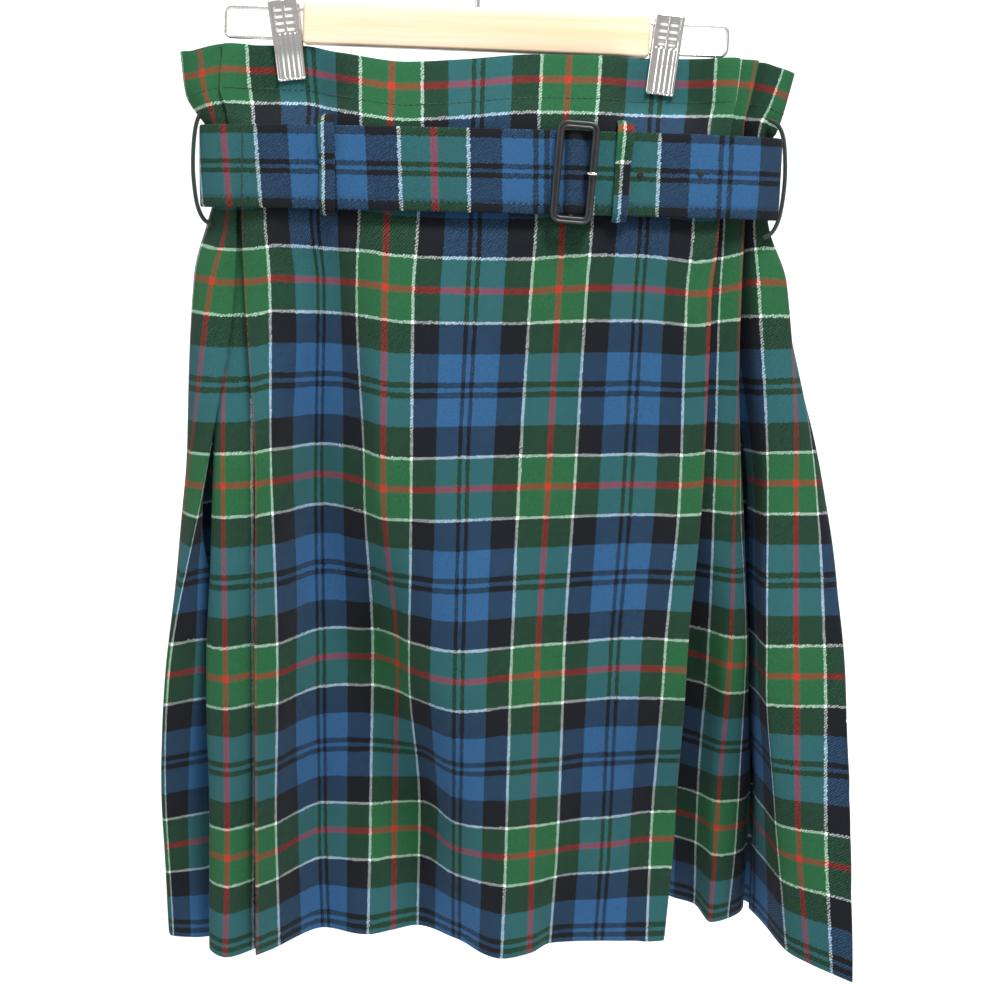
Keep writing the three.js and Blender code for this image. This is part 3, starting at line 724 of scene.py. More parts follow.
def resample(line: Numbers, steps: int) -> Numbers:
    """The same line with evenly spaced points.

    Args:
        line: the line's points.
        steps: how many points to return, less one.

    Returns:
        The new points.
    """
    run = np.concatenate([[0], np.cumsum(np.linalg.norm(np.diff(line, axis=0), axis=1))])
    where = np.linspace(0, run[-1], steps + 1)
    return np.stack([np.interp(where, run, line[:, axis]) for axis in range(line.shape[1])], axis=1)


def line_length(line: Numbers) -> float:
    """The length of a line through its points."""
    return float(np.linalg.norm(np.diff(line, axis=0), axis=1).sum())


# ---------------- node trees


def connect(tree: Tree, node: Node, inputs: dict) -> None:
    """Links or sets a node's inputs.

    Args:
        tree: the node's tree.
        node: the node.
        inputs: a socket to link, or a value, for each input by name or number.
    """
    for key, value in inputs.items():
        if isinstance(value, Socket):
            tree.links.new(value, node.inputs[key])
        else:
            node.inputs[key].default_value = value


def add_node(tree: Tree, kind: str, inputs: dict | None = None,
             **settings: object) -> Node:
    """Adds a node, sets it and links its inputs.

    Args:
        tree: the tree it goes into.
        kind: the node's type.
        inputs: a socket to link, or a value, for each input by name or number.
        settings: the node's own settings.

    Returns:
        The new node.
    """
    node = tree.nodes.new(kind)
    for name, value in settings.items():
        setattr(node, name, value)
    connect(tree, node, inputs or {})
    return node


def maths(tree: Tree, operation: str, *values: object) -> Socket:
    """The result of a Math node on sockets or numbers."""
    return add_node(tree, "ShaderNodeMath", dict(enumerate(values)), operation=operation).outputs[0]


class PieceMaker:
    """A geometry node tree with named sizes that runs once and leaves a plain mesh.

    Its source is a mesh of plain edges: the line that the piece follows.
    """

    def __init__(self, name: str, sizes: dict[str, float | int]) -> None:
        """Starts the tree.

        Args:
            name: the tree's name.
            sizes: its named inputs and their usual values.
        """
        self.tree = bpy.data.node_groups.new(name, "GeometryNodeTree")
        face = self.tree.interface
        face.new_socket("Line", in_out="INPUT", socket_type="NodeSocketGeometry")
        for size, value in sizes.items():
            kind = "NodeSocketInt" if isinstance(value, int) else "NodeSocketFloat"
            face.new_socket(size, in_out="INPUT", socket_type=kind).default_value = value
        face.new_socket("Finish", in_out="INPUT", socket_type="NodeSocketMaterial")
        face.new_socket("Piece", in_out="OUTPUT", socket_type="NodeSocketGeometry")
        self.given = self.tree.nodes.new("NodeGroupInput").outputs

    def add(self, kind: str, inputs: dict | None = None, **settings: object) -> Node:
        """Adds a node to the tree; see add_node."""
        return add_node(self.tree, kind, inputs, **settings)

    def close(self, shape: Socket) -> None:
        """Ends the tree: real geometry, smooth shading and the finish.

        Args:
            shape: the finished shape.
        """
        real = self.add("GeometryNodeRealizeInstances", {"Geometry": shape})
        shaded = self.add("GeometryNodeSetShadeSmooth", {"Geometry": real.outputs[0], "Shade Smooth": True})
        finish = {"Geometry": shaded.outputs[0], "Material": self.given["Finish"]}
        finished = self.add("GeometryNodeSetMaterial", finish)
        self.add("NodeGroupOutput", {"Piece": finished.outputs[0]})

    def run(self, name: str, lines: Sequence[Numbers], material: Material,
            **sizes: float | int) -> Piece:
        """Makes one piece.

        Args:
            name: the piece's name.
            lines: the lines it follows, in millimetres.
            material: its finish.
            sizes: values for the tree's named inputs.

        Returns:
            The piece as a plain mesh object.
        """
        source_mesh = bpy.data.meshes.new(name + "_line")
        points = np.concatenate(lines) * MM
        starts = np.cumsum([0] + [len(line) for line in lines])
        edges = [(i, i + 1) for a, b in zip(starts, starts[1:]) for i in range(a, b - 1)]
        source_mesh.from_pydata(points.tolist(), edges, [])
        source = bpy.data.objects.new(name + "_line", source_mesh)
        bpy.context.scene.collection.objects.link(source)
        modifier = source.modifiers.new(self.tree.name, "NODES")
        modifier.node_group = self.tree
        values = {**sizes, "Finish": material}
        for item in self.tree.interface.items_tree:
            if item.in_out == "INPUT" and item.name in values:
                modifier[item.identifier] = values[item.name]
        evaluated = source.evaluated_get(bpy.context.evaluated_depsgraph_get())
        mesh = bpy.data.meshes.new_from_object(evaluated)
        source.modifiers.remove(modifier)
        bpy.data.objects.remove(source)
        bpy.data.meshes.remove(source_mesh)
        return place_mesh(mesh, name, material)


def stitch_maker() -> PieceMaker:
    """Stitches along a line: short rounded beads of thread, each a little different.

    Returns:
        Their maker.
    """
    maker = PieceMaker("Stitches", {"Spacing": 3.4 * MM, "Length": 2.4 * MM, "Radius": 0.3 * MM, "Seed": 3})
    given = maker.given
    line = maker.add("GeometryNodeMeshToCurve", {"Mesh": given["Line"]})
    along = {"Curve": line.outputs[0], "Length": given["Spacing"]}
    spots = maker.add("GeometryNodeCurveToPoints", along, mode="LENGTH")
    bead = maker.add("GeometryNodeMeshUVSphere", {"Segments": 6, "Rings": 5, "Radius": 1.0})
    half = maths(maker.tree, "MULTIPLY", given["Length"], 0.5)
    stretch = maker.add("ShaderNodeCombineXYZ", {"X": given["Radius"], "Y": given["Radius"], "Z": half})
    thread = maker.add("GeometryNodeTransform", {"Geometry": bead.outputs[0], "Scale": stretch.outputs[0]})
    turned = maker.add("FunctionNodeAlignRotationToVector", {"Vector": spots.outputs["Tangent"]}, axis="Z")
    lot = maker.add("FunctionNodeRandomValue", {2: 0.8, 3: 1.15, "Seed": given["Seed"]}, data_type="FLOAT")
    rows = {"Points": spots.outputs["Points"], "Instance": thread.outputs[0],
            "Rotation": turned.outputs[0], "Scale": lot.outputs[1]}
    maker.close(maker.add("GeometryNodeInstanceOnPoints", rows).outputs[0])
    return maker


def wire_maker() -> PieceMaker:
    """Round wire along a line.

    Returns:
        Its maker.
    """
    maker = PieceMaker("Wire", {"Radius": 0.8 * MM, "Sides": 16})
    given = maker.given
    line = maker.add("GeometryNodeMeshToCurve", {"Mesh": given["Line"]})
    round_it = {"Resolution": given["Sides"], "Radius": given["Radius"]}
    ring = maker.add("GeometryNodeCurvePrimitiveCircle", round_it)
    wire = {"Curve": line.outputs[0], "Profile Curve": ring.outputs[0], "Fill Caps": True}
    maker.close(maker.add("GeometryNodeCurveToMesh", wire).outputs[0])
    return maker


STRANDS = 3  # in the twisted cord
STRAND_SHARE = 0.52  # a strand's radius, as a share of the cord's
WOUND_SHARE = 0.48  # the radius it is wound at


def cord_maker() -> PieceMaker:
    """Twisted cord along a line: strands wound round each other.

    Returns:
        Its maker.
    """
    sizes = {"Radius": 1.0 * MM, "Turns per metre": 240.0, "Step": 0.5 * MM}
    maker = PieceMaker("Twisted cord", sizes)
    given, tree = maker.given, maker.tree
    line = maker.add("GeometryNodeMeshToCurve", {"Mesh": given["Line"]})
    along = {"Curve": line.outputs[0], "Length": given["Step"]}
    fine = maker.add("GeometryNodeResampleCurve", along, mode="LENGTH")
    strand_radius = maths(tree, "MULTIPLY", given["Radius"], STRAND_SHARE)
    offset_radius = maths(tree, "MULTIPLY", given["Radius"], WOUND_SHARE)
    ring = maker.add("GeometryNodeCurvePrimitiveCircle", {"Resolution": 8, "Radius": strand_radius})
    run = maker.add("GeometryNodeSplineParameter").outputs["Length"]
    turns = maths(tree, "MULTIPLY", maths(tree, "MULTIPLY", run, given["Turns per metre"]), 2 * math.pi)
    normal = maker.add("GeometryNodeInputNormal").outputs[0]
    tangent = maker.add("GeometryNodeInputTangent").outputs[0]
    across = maker.add("ShaderNodeVectorMath", {0: tangent, 1: normal}, operation="CROSS_PRODUCT").outputs[0]
    strands = maker.add("GeometryNodeJoinGeometry")
    for strand in range(STRANDS):
        angle = maths(tree, "ADD", turns, strand * 2 * math.pi / STRANDS)
        sides = []
        for direction, wave in ((normal, "COSINE"), (across, "SINE")):
            reach = maths(tree, "MULTIPLY", maths(tree, wave, angle), offset_radius)
            scaled = maker.add("ShaderNodeVectorMath", {0: direction, "Scale": reach}, operation="SCALE")
            sides.append(scaled.outputs[0])
        aside = maker.add("ShaderNodeVectorMath", {0: sides[0], 1: sides[1]}, operation="ADD").outputs[0]
        wound = maker.add("GeometryNodeSetPosition", {"Geometry": fine.outputs[0], "Offset": aside})
        tube = {"Curve": wound.outputs[0], "Profile Curve": ring.outputs[0], "Fill Caps": True}
        tree.links.new(maker.add("GeometryNodeCurveToMesh", tube).outputs[0], strands.inputs[0])
    maker.close(strands.outputs[0])
    return maker


# ---------------- shared effects


class EffectGroup:
    """A shader node group with named inputs and outputs."""

    def __init__(self, name: str, inputs: dict[str, tuple[str, object]], outputs: dict[str, str]) -> None:
        """Starts the group.

        Args:
            name: the group's name.
            inputs: each input's kind, such as Float, Vector or Color, and its usual value.
            outputs: each output's kind.
        """
        self.tree = bpy.data.node_groups.new(name, "ShaderNodeTree")
        for label, (kind, value) in inputs.items():
            socket = self.tree.interface.new_socket(label, in_out="INPUT", socket_type=f"NodeSocket{kind}")
            if value is not None:
                socket.default_value = value
        for label, kind in outputs.items():
            self.tree.interface.new_socket(label, in_out="OUTPUT", socket_type=f"NodeSocket{kind}")
        self.given = self.tree.nodes.new("NodeGroupInput").outputs
        self.result = self.tree.nodes.new("NodeGroupOutput").inputs

    def add(self, kind: str, inputs: dict | None = None, **settings: object) -> Node:
        """Adds a node to the group; see add_node."""
        return add_node(self.tree, kind, inputs, **settings)

    def maths(self, operation: str, *values: object) -> Socket:
        """The result of a Math node in the group; see maths."""
        return maths(self.tree, operation, *values)

    def vector_maths(self, operation: str, values: dict) -> Socket:
        """The result of a Vector Math node in the group."""
        return self.add("ShaderNodeVectorMath", values, operation=operation).outputs[0]

    def noise(self, vector: Socket, scale: Socket, detail: float,
              roughness: float = 0.5) -> Outputs:
        """The outputs of a noise texture in the group: a number and a colour."""
        inputs = {"Vector": vector, "Scale": scale, "Detail": detail, "Roughness": roughness}
        return self.add("ShaderNodeTexNoise", inputs).outputs

    def give(self, label: str, socket: Socket) -> None:
        """Links a socket to one of the group's outputs."""
        self.tree.links.new(socket, self.result[label])

    def place_in(self, tree: Tree, inputs: dict) -> Outputs:
        """Puts the group into another tree, with its own values.

        Args:
            tree: the other tree.
            inputs: a socket to link, or a value, for some of the group's inputs.

        Returns:
            The group's outputs there.
        """
        node = add_node(tree, "ShaderNodeGroup", node_tree=self.tree)
        connect(tree, node, inputs)
        return node.outputs


def linear(value: int) -> float:
    """A display value from 0 to 255, as a scene-linear one from 0 to 1."""
    share = value / 255
    return share / 12.92 if share <= 0.04045 else ((share + 0.055) / 1.055) ** 2.4


def srgb(red: int, green: int, blue: int) -> Colour:
    """A colour given in display values, as scene-linear values."""
    return linear(red), linear(green), linear(blue), 1.0


@dataclass(frozen=True)
class Yarns:
    """The dyed yarns of the check, and where the red one ends."""

    red: Colour = srgb(206, 42, 38)
    green: Colour = srgb(42, 98, 62)
    white: Colour = srgb(240, 250, 242)
    black: Colour = srgb(25, 28, 33)
    blue: Colour = srgb(50, 94, 138)
    grey: Colour = srgb(118, 134, 136)
    red_full: float = 0.006  # the red is as strong as it gets up to here,
    red_gone: float = 0.0235  # and its loose fibres end here
    red_share: float = 0.9

    def bands(self) -> list[tuple[float, Colour]]:
        """Where each other yarn starts, as its distance in repeats from the middle of the red line."""
        return [
            (0.0, self.green), (0.1495, self.white), (0.1665, self.black), (0.316, self.blue),
            (0.459, self.black), (0.485, self.blue), (0.4972, self.grey),
        ]


def band_group(yarns: Yarns) -> EffectGroup:
    """The check's order of yarns, the same on both sides of each red line, whose loose fibres spread.

    Args:
        yarns: the yarns.

    Returns:
        The group: a place in repeats gives the yarn's colour.
    """
    group = EffectGroup("Yarn order", {"Place": ("Float", 0.0)}, {"Yarn": "Color"})
    shifted = group.maths("FRACT", group.maths("ADD", group.given["Place"], 0.5))
    distance = group.maths("ABSOLUTE", group.maths("SUBTRACT", shifted, 0.5))
    ramp = group.add("ShaderNodeValToRGB", {0: distance})
    ramp.color_ramp.interpolation = "CONSTANT"
    stops = ramp.color_ramp.elements
    for i, (where, colour) in enumerate(yarns.bands()):
        stop = stops[i] if i < len(stops) else stops.new(where)
        stop.position, stop.color = where, colour
    spread = {0: distance, 1: yarns.red_full, 2: yarns.red_gone, 3: yarns.red_share, 4: 0.0}
    near = group.add("ShaderNodeMapRange", spread, interpolation_type="SMOOTHSTEP")
    mix = {0: near.outputs[0], 6: ramp.outputs[0], 7: yarns.red}
    group.give("Yarn", group.add("ShaderNodeMix", mix, data_type="RGBA").outputs[2])
    return group


def twill_group(bands: EffectGroup) -> EffectGroup:
    """A check woven in two-over-two twill: every thread has one colour, and shows where it lies on top.

    Args:
        bands: the order of yarns, for the warp and the weft alike.

    Returns:
        The group: cloth coordinates give the colour and the height of the threads.
    """
    inputs = {"Cloth": ("Vector", None), "Threads across": ("Float", 236.0), "Threads down": ("Float", 274.0),
              "Nap": ("Float", 0.57), "Wander": ("Float", 0.02), "Wander scale": ("Float", 75.0)}
    group = EffectGroup("Twill check", inputs, {"Colour": "Color", "Rise": "Float"})
    given = group.given
    drift = group.noise(given["Cloth"], given["Wander scale"], 2.0)[1]
    centred = group.vector_maths("SUBTRACT", {0: drift, 1: (0.5, 0.5, 0.5)})
    offset = group.vector_maths("SCALE", {0: centred, "Scale": given["Wander"]})
    moved = group.vector_maths("ADD", {0: given["Cloth"], 1: offset})
    parts = group.add("ShaderNodeSeparateXYZ", {0: moved}).outputs
    threads, rounds, yarns = [], [], []
    for axis, count in ((0, "Threads across"), (1, "Threads down")):
        thread = group.maths("MULTIPLY", parts[axis], given[count])
        number = group.maths("FLOOR", thread)
        middle = group.maths("DIVIDE", group.maths("ADD", number, 0.5), given[count])
        threads.append(number)
        rounds.append(group.maths("SINE", group.maths("MULTIPLY", group.maths("FRACT", thread), math.pi)))
        yarns.append(bands.place_in(group.tree, {"Place": middle})["Yarn"])
    step = group.maths("FLOORED_MODULO", group.maths("ADD", *threads), 4.0)
    on_top = group.maths("LESS_THAN", step, 1.5)
    colour = group.add("ShaderNodeMix", {0: on_top, 6: yarns[1], 7: yarns[0]}, data_type="RGBA")
    rise = group.add("ShaderNodeMix", {0: on_top, 2: rounds[1], 3: rounds[0]}, data_type="FLOAT")
    product = group.vector_maths("MULTIPLY", {0: yarns[1], 1: yarns[0]})
    blend = group.add("ShaderNodeGamma", {0: product, 1: 0.5})
    napped = {0: given["Nap"], 6: colour.outputs[2], 7: blend.outputs[0]}
    group.give("Colour", group.add("ShaderNodeMix", napped, data_type="RGBA").outputs[2])
    group.give("Rise", rise.outputs[0])
    return group


def fibre_group() -> EffectGroup:
    """Loose fibres and uneven dye: it varies a colour finely and slowly, and gives a soft height.

    Returns:
        The group.
    """
    inputs = {"Colour": ("Color", (0.5, 0.5, 0.5, 1)), "Place": ("Vector", None),
              "Fine scale": ("Float", 900.0), "Slow scale": ("Float", 14.0),
              "Amount": ("Float", 0.3), "Fade": ("Float", 0.06)}
    group = EffectGroup("Loose fibres", inputs, {"Colour": "Color", "Rise": "Float"})
    given = group.given
    fine = group.noise(given["Place"], given["Fine scale"], 3.0)[0]
    slow = group.noise(given["Place"], given["Slow scale"], 2.0)[0]
    fine_share = group.maths("MULTIPLY", group.maths("SUBTRACT", fine, 0.5), given["Amount"])
    slow_share = group.maths("MULTIPLY", group.maths("SUBTRACT", slow, 0.5), given["Fade"])
    gain = group.maths("ADD", group.maths("ADD", fine_share, slow_share), 1.0)
    group.give("Colour", group.vector_maths("SCALE", {0: given["Colour"], "Scale": gain}))
    group.give("Rise", fine)
    return group


def wear_group() -> EffectGroup:
    """Fine scratches and smudges for hard surfaces: masks to vary colour and roughness.

    Returns:
        The group.
    """
    inputs = {"Place": ("Vector", None), "Scratch scale": ("Float", 300.0), "Smudge scale": ("Float", 40.0),
              "Along": ("Vector", (1.0, 1.0, 0.06))}
    group = EffectGroup("Surface wear", inputs, {"Scratches": "Float", "Smudges": "Float"})
    given = group.given
    stretched = group.vector_maths("MULTIPLY", {0: given["Place"], 1: given["Along"]})
    group.give("Scratches", group.noise(stretched, given["Scratch scale"], 4.0, roughness=0.65)[0])
    group.give("Smudges", group.noise(given["Place"], given["Smudge scale"], 3.0)[0])
    return group


class Effects:
    """The shared groups, each made once."""

    def __init__(self) -> None:
        """Makes the groups."""
        self.fibres = fibre_group()
        self.wear = wear_group()
        self.weave = twill_group(band_group(Yarns()))


# ---------------- finishes


class Coat:
    """A material in the making, with its tree and its Principled BSDF."""

    def __init__(self, name: str) -> None:
        """Starts an empty material.

        Args:
            name: the material's name.
        """
        self.material = bpy.data.materials.new(name)
        self.material.use_nodes = True
        self.tree = self.material.node_tree
        self.shader = next(node for node in self.tree.nodes if node.type == "BSDF_PRINCIPLED")

    def add(self, kind: str, inputs: dict | None = None, **settings: object) -> Node:
        """Adds a node to the material; see add_node."""
        return add_node(self.tree, kind, inputs, **settings)

    def place(self) -> Socket:
        """The place on the piece, in its own coordinates."""
        return self.add("ShaderNodeTexCoord").outputs["Object"]

    def mix(self, share: Socket, low: Colour, high: Colour) -> Socket:
        """A colour between two, by a share from 0 to 1."""
        return self.add("ShaderNodeMix", {0: share, 6: low, 7: high}, data_type="RGBA").outputs[2]

    def between(self, share: Socket, low: float, high: float) -> Socket:
        """A number between two, by a share from 0 to 1."""
        return self.add("ShaderNodeMapRange", {0: share, 3: low, 4: high}).outputs[0]

    def bump(self, height: Socket, relief: float, share: float = 1.0) -> None:
        """Feeds a height from 0 to 1 to the shader's normal, as a relief in millimetres."""
        node = self.add("ShaderNodeBump", {"Height": height, "Distance": relief * MM, "Strength": share})
        connect(self.tree, self.shader, {"Normal": node.outputs[0]})

    def dress(self, values: dict[str, object]) -> Material:
        """Links or sets the shader's inputs, and gives the finished material."""
        connect(self.tree, self.shader, values)
        return self.material


@dataclass(frozen=True)
class WoolTwill:
    """Checked wool twill, soft and matt with a fine nap."""

    name: str
    sheen: float
    sheen_roughness: float = 0.45
    roughness: float = 0.88
    shine: float = 0.12
    nap_scale: float = 1400.0
    nap_amount: float = 0.85
    fade: float = 0.14
    nap_height: float = 0.8
    relief: float = 0.16
    relief_share: float = 0.7

    def make(self, effects: Effects) -> Material:
        """Makes the material.

        Args:
            effects: the shared groups.

        Returns:
            The material.
        """
        coat = Coat(self.name)
        cloth = coat.add("ShaderNodeUVMap", uv_map="cloth").outputs[0]
        check = effects.weave.place_in(coat.tree, {"Cloth": cloth})
        nap = {"Colour": check["Colour"], "Place": coat.place(), "Fine scale": self.nap_scale,
               "Amount": self.nap_amount, "Fade": self.fade}
        fibres = effects.fibres.place_in(coat.tree, nap)
        nap_rise = maths(coat.tree, "MULTIPLY", fibres["Rise"], self.nap_height)
        coat.bump(maths(coat.tree, "ADD", check["Rise"], nap_rise), self.relief, self.relief_share)
        return coat.dress({"Base Color": fibres["Colour"], "Roughness": self.roughness,
                           "Specular IOR Level": self.shine, "Sheen Weight": self.sheen,
                           "Sheen Roughness": self.sheen_roughness})


@dataclass(frozen=True)
class DyedThread:
    """Dyed thread with loose fibres."""

    name: str
    colour: Colour
    roughness: float = 0.72
    sheen: float = 0.15
    fibre_scale: float = 2600.0
    fibre_amount: float = 1.0
    fade: float = 0.3
    relief: float = 0.12

    def make(self, effects: Effects) -> Material:
        """Makes the material.

        Args:
            effects: the shared groups.

        Returns:
            The material.
        """
        coat = Coat(self.name)
        nap = {"Colour": self.colour, "Place": coat.place(), "Fine scale": self.fibre_scale,
               "Amount": self.fibre_amount, "Fade": self.fade}
        fibres = effects.fibres.place_in(coat.tree, nap)
        coat.bump(fibres["Rise"], self.relief)
        return coat.dress({"Base Color": fibres["Colour"], "Roughness": self.roughness,
                           "Sheen Weight": self.sheen})


@dataclass(frozen=True)
class BuckleLeather:
    """Black leather pulled over the buckle's frame: fine grain, lighter where it is rubbed."""

    name: str = "buckle leather"
    colour: Colour = srgb(12, 13, 14)
    rubbed: Colour = srgb(70, 70, 72)
    smooth: float = 0.26
    rough: float = 0.46
    shine: float = 0.6
    grain_scale: float = 1500.0
    rub_scale: float = 500.0
    relief: float = 0.05
    relief_share: float = 0.6

    def make(self, effects: Effects) -> Material:
        """Makes the material.

        Args:
            effects: the shared groups.

        Returns:
            The material.
        """
        coat = Coat(self.name)
        place = coat.place()
        pebbles = {"Vector": place, "Scale": self.grain_scale, "Randomness": 1.0}
        grain = coat.add("ShaderNodeTexVoronoi", pebbles)
        every_way = {"Place": place, "Scratch scale": self.rub_scale, "Along": (1.0, 1.0, 1.0)}
        wear = effects.wear.place_in(coat.tree, every_way)
        rubbed = maths(coat.tree, "MULTIPLY", wear["Scratches"], wear["Smudges"])
        coat.bump(grain.outputs["Distance"], self.relief, self.relief_share)
        return coat.dress({"Base Color": coat.mix(rubbed, self.colour, self.rubbed),
                           "Roughness": coat.between(wear["Smudges"], self.smooth, self.rough),
                           "Specular IOR Level": self.shine})


@dataclass(frozen=True)
class PlatedSteel:
    """Bright plated steel, finely scratched and a little smudged."""

    name: str
    roughness: float
    smudged: Colour = srgb(226, 223, 218)
    bright: Colour = srgb(252, 250, 246)
    smoothest: float = 0.6  # these two are shares of the roughness
    roughest: float = 1.7
    scratch_scale: float = 900.0
    smudge_scale: float = 90.0
    relief: float = 0.01
    relief_share: float = 0.5

    def make(self, effects: Effects) -> Material:
        """Makes the material.

        Args:
            effects: the shared groups.

        Returns:
            The material.
        """
        coat = Coat(self.name)
        worn = {"Place": coat.place(), "Scratch scale": self.scratch_scale, "Smudge scale": self.smudge_scale}
        wear = effects.wear.place_in(coat.tree, worn)
        low, high = self.roughness * self.smoothest, self.roughness * self.roughest
        coat.bump(wear["Scratches"], self.relief, self.relief_share)
        return coat.dress({"Base Color": coat.mix(wear["Smudges"], self.smudged, self.bright),
                           "Roughness": coat.between(wear["Scratches"], low, high), "Metallic": 1.0})


@dataclass(frozen=True)
class PaleWood:
    """Pale varnished wood with a soft grain along the bar."""

    name: str = "pale wood"
    dark: Colour = srgb(240, 210, 170)
    light: Colour = srgb(249, 229, 207)
    ramp_ends: Point2 = (0.3, 0.7)
    grain_stretch: Point3 = (1.6, 30.0, 42.0)
    grain_scale: float = 3.0
    grain_bend: float = 0.6
    pore_stretch: Point3 = (14.0, 300.0, 420.0)
    pore_scale: float = 5.0
    patch_scale: float = 0.4
    pore_amount: float = 0.14
    fade: float = 0.08
    roughness: float = 0.38
    varnish: float = 0.25
    varnish_roughness: float = 0.18
    relief: float = 0.03
    relief_share: float = 0.5

    def make(self, effects: Effects) -> Material:
        """Makes the material.

        Args:
            effects: the shared groups.

        Returns:
            The material.
        """
        coat = Coat(self.name)
        place = coat.place()
        along = coat.add("ShaderNodeMapping", {"Vector": place, "Scale": self.grain_stretch}).outputs[0]
        waves = {"Vector": along, "Scale": self.grain_scale, "Detail": 4.0, "Distortion": self.grain_bend}
        grain = coat.add("ShaderNodeTexNoise", waves).outputs[0]
        pores = coat.add("ShaderNodeMapping", {"Vector": place, "Scale": self.pore_stretch}).outputs[0]
        fine = coat.add("ShaderNodeTexNoise", {"Vector": pores, "Scale": self.pore_scale, "Detail": 2.0})
        ramp = coat.add("ShaderNodeValToRGB", {0: grain})
        for stop, where, colour in zip(ramp.color_ramp.elements, self.ramp_ends, (self.dark, self.light)):
            stop.position, stop.color = where, colour
        pored = effects.fibres.place_in(coat.tree, {
            "Colour": ramp.outputs[0], "Place": pores, "Fine scale": self.pore_scale,
            "Slow scale": self.patch_scale, "Amount": self.pore_amount, "Fade": self.fade,
        })
        coat.bump(fine.outputs[0], self.relief, self.relief_share)
        return coat.dress({"Base Color": pored["Colour"], "Roughness": self.roughness,
                           "Coat Weight": self.varnish, "Coat Roughness": self.varnish_roughness})


class Finishes:
    """Every finish of the skirt and its hanger, each made once."""

    def __init__(self) -> None:
        """Makes the shared effects and the materials."""
        effects = Effects()
        self.wool = WoolTwill("wool twill", sheen=0.04).make(effects)
        self.wool_belt = WoolTwill("wool twill belt", sheen=0.03).make(effects)
        self.thread = DyedThread("sewing thread", srgb(16, 24, 28)).make(effects)
        self.waist_thread = DyedThread("waist thread", srgb(32, 70, 48)).make(effects)
        self.cord = DyedThread("twisted cord", srgb(24, 44, 34)).make(effects)
        # near black: dark thread, darkened further as painted shade of the eyelet holes, which are not cut
        # through the belt
        self.eyelet_thread = DyedThread("eyelet thread", srgb(5, 3, 5)).make(effects)
        self.leather = BuckleLeather().make(effects)
        self.steel = PlatedSteel("bright steel", roughness=0.16).make(effects)
        self.wire_steel = PlatedSteel("plated wire", roughness=0.24).make(effects)
        self.wood = PaleWood().make(effects)


# ---------------- solid shapes


@dataclass(frozen=True)
class TubeRing:
    """One ring of a tube: its middle, its spokes, its radius and the way that the tube runs there."""

    middle: Numbers
    spokes: Numbers
    radius: float
    ahead: Numbers

    def points(self, share: float = 1.0, lift: float = 0.0) -> Numbers:
        """The ring's points, or a narrower copy moved along the tube by a share of the radius."""
        return self.middle + self.spokes * self.radius * share + self.ahead * lift * self.radius


DOME = ((0.2, 0.85), (0.4, 0.45), (0.45, 0.02))  # its rings: how far past the end, and how wide
ASIDE = (0.31, 0.82, 0.47)  # a direction that no line here runs in


def swept_tube(line: Numbers, radii: Numbers, sides: int = 20) -> tuple[Numbers, Numbers]:
    """A round solid along a line, with a shallow dome at each end.

    Args:
        line: the line's points, in millimetres.
        radii: the radius at each point.
        sides: how many points go round it.

    Returns:
        Its points, and rows of four indices.
    """
    tangents = np.gradient(line, axis=0)
    tangents /= np.linalg.norm(tangents, axis=1, keepdims=True)
    side = np.cross(tangents[0], ASIDE)
    turn = np.linspace(0, 2 * math.pi, sides, endpoint=False)[:, None]
    rings = []
    for middle, radius, ahead in zip(line, radii, tangents):
        side = side - ahead * np.dot(side, ahead)
        side = side / np.linalg.norm(side)
        spokes = np.cos(turn) * side + np.sin(turn) * np.cross(ahead, side)
        rings.append(TubeRing(middle, spokes, radius, ahead))
    shells = [rings[0].points(share, -lift) for lift, share in DOME[::-1]]
    shells += [ring.points() for ring in rings]
    shells += [rings[-1].points(share, lift) for lift, share in DOME]
    return np.concatenate(shells), wrapped_faces(len(shells), sides)


def wrapped_faces(rows: int, sides: int, closed: bool = False) -> Numbers:
    """Four-sided faces over rings of points that follow each other.

    Args:
        rows: how many rings.
        sides: how many points in a ring.
        closed: joins the last ring to the first.

    Returns:
        Rows of four indices.
    """
    count = rows if closed else rows - 1
    r, c = np.meshgrid(np.arange(count), np.arange(sides), indexing="ij")
    r, c = r.ravel(), c.ravel()
    below, aside = (r + 1) % rows, (c + 1) % sides
    return np.stack([r * sides + c, r * sides + aside, below * sides + aside, below * sides + c], axis=1)


def rounded_ring(half_width: float, half_height: float, radius: float,
                 steps: int = 8) -> tuple[Numbers, Numbers]:
    """A rounded rectangle in the XZ plane, and the outward direction at each of its points.

    Args:
        half_width: half its width.
        half_height: half its height.
        radius: its corners' radius.
        steps: points in each corner, and along each side.

    Returns:
        The points, and their outward directions.
    """
    places, outwards = [], []
    corners = ((1, 1, 0), (-1, 1, 90), (-1, -1, 180), (1, -1, 270))
    for across, up, start in corners:
        middle = np.array([across * (half_width - radius), 0, up * (half_height - radius)])
        for turn in np.radians(start + np.linspace(0, 90, steps + 1)):
            way = np.array([math.cos(turn), 0, math.sin(turn)])
            places.append(middle + way * radius)
            outwards.append(way)
    points, ways = [], []
    for i, (place, way) in enumerate(zip(places, outwards)):
        following = places[(i + 1) % len(places)]
        inside_corner = (i + 1) % (steps + 1) != 0
        for share in ([0.0] if inside_corner else np.linspace(0, 1, steps, endpoint=False)):
            points.append(place * (1 - share) + following * share)
            ways.append(way)
    return np.array(points), np.array(ways)


def turned(points: Numbers, degrees: float, middle: Point3) -> Numbers:
    """Points turned about the front-to-back axis, then moved.

    Args:
        points: the points.
        degrees: the turn, clockwise when the front is seen.
        middle: where their own origin goes.

    Returns:
        The new points.
    """
    turn = math.radians(degrees)
    x, y, z = points[..., 0], points[..., 1], points[..., 2]
    new_x = x * math.cos(turn) + z * math.sin(turn)
    new_z = z * math.cos(turn) - x * math.sin(turn)
    return np.stack([new_x, y, new_z], axis=-1) + np.asarray(middle, float)


# ---------------- pieces of the skirt


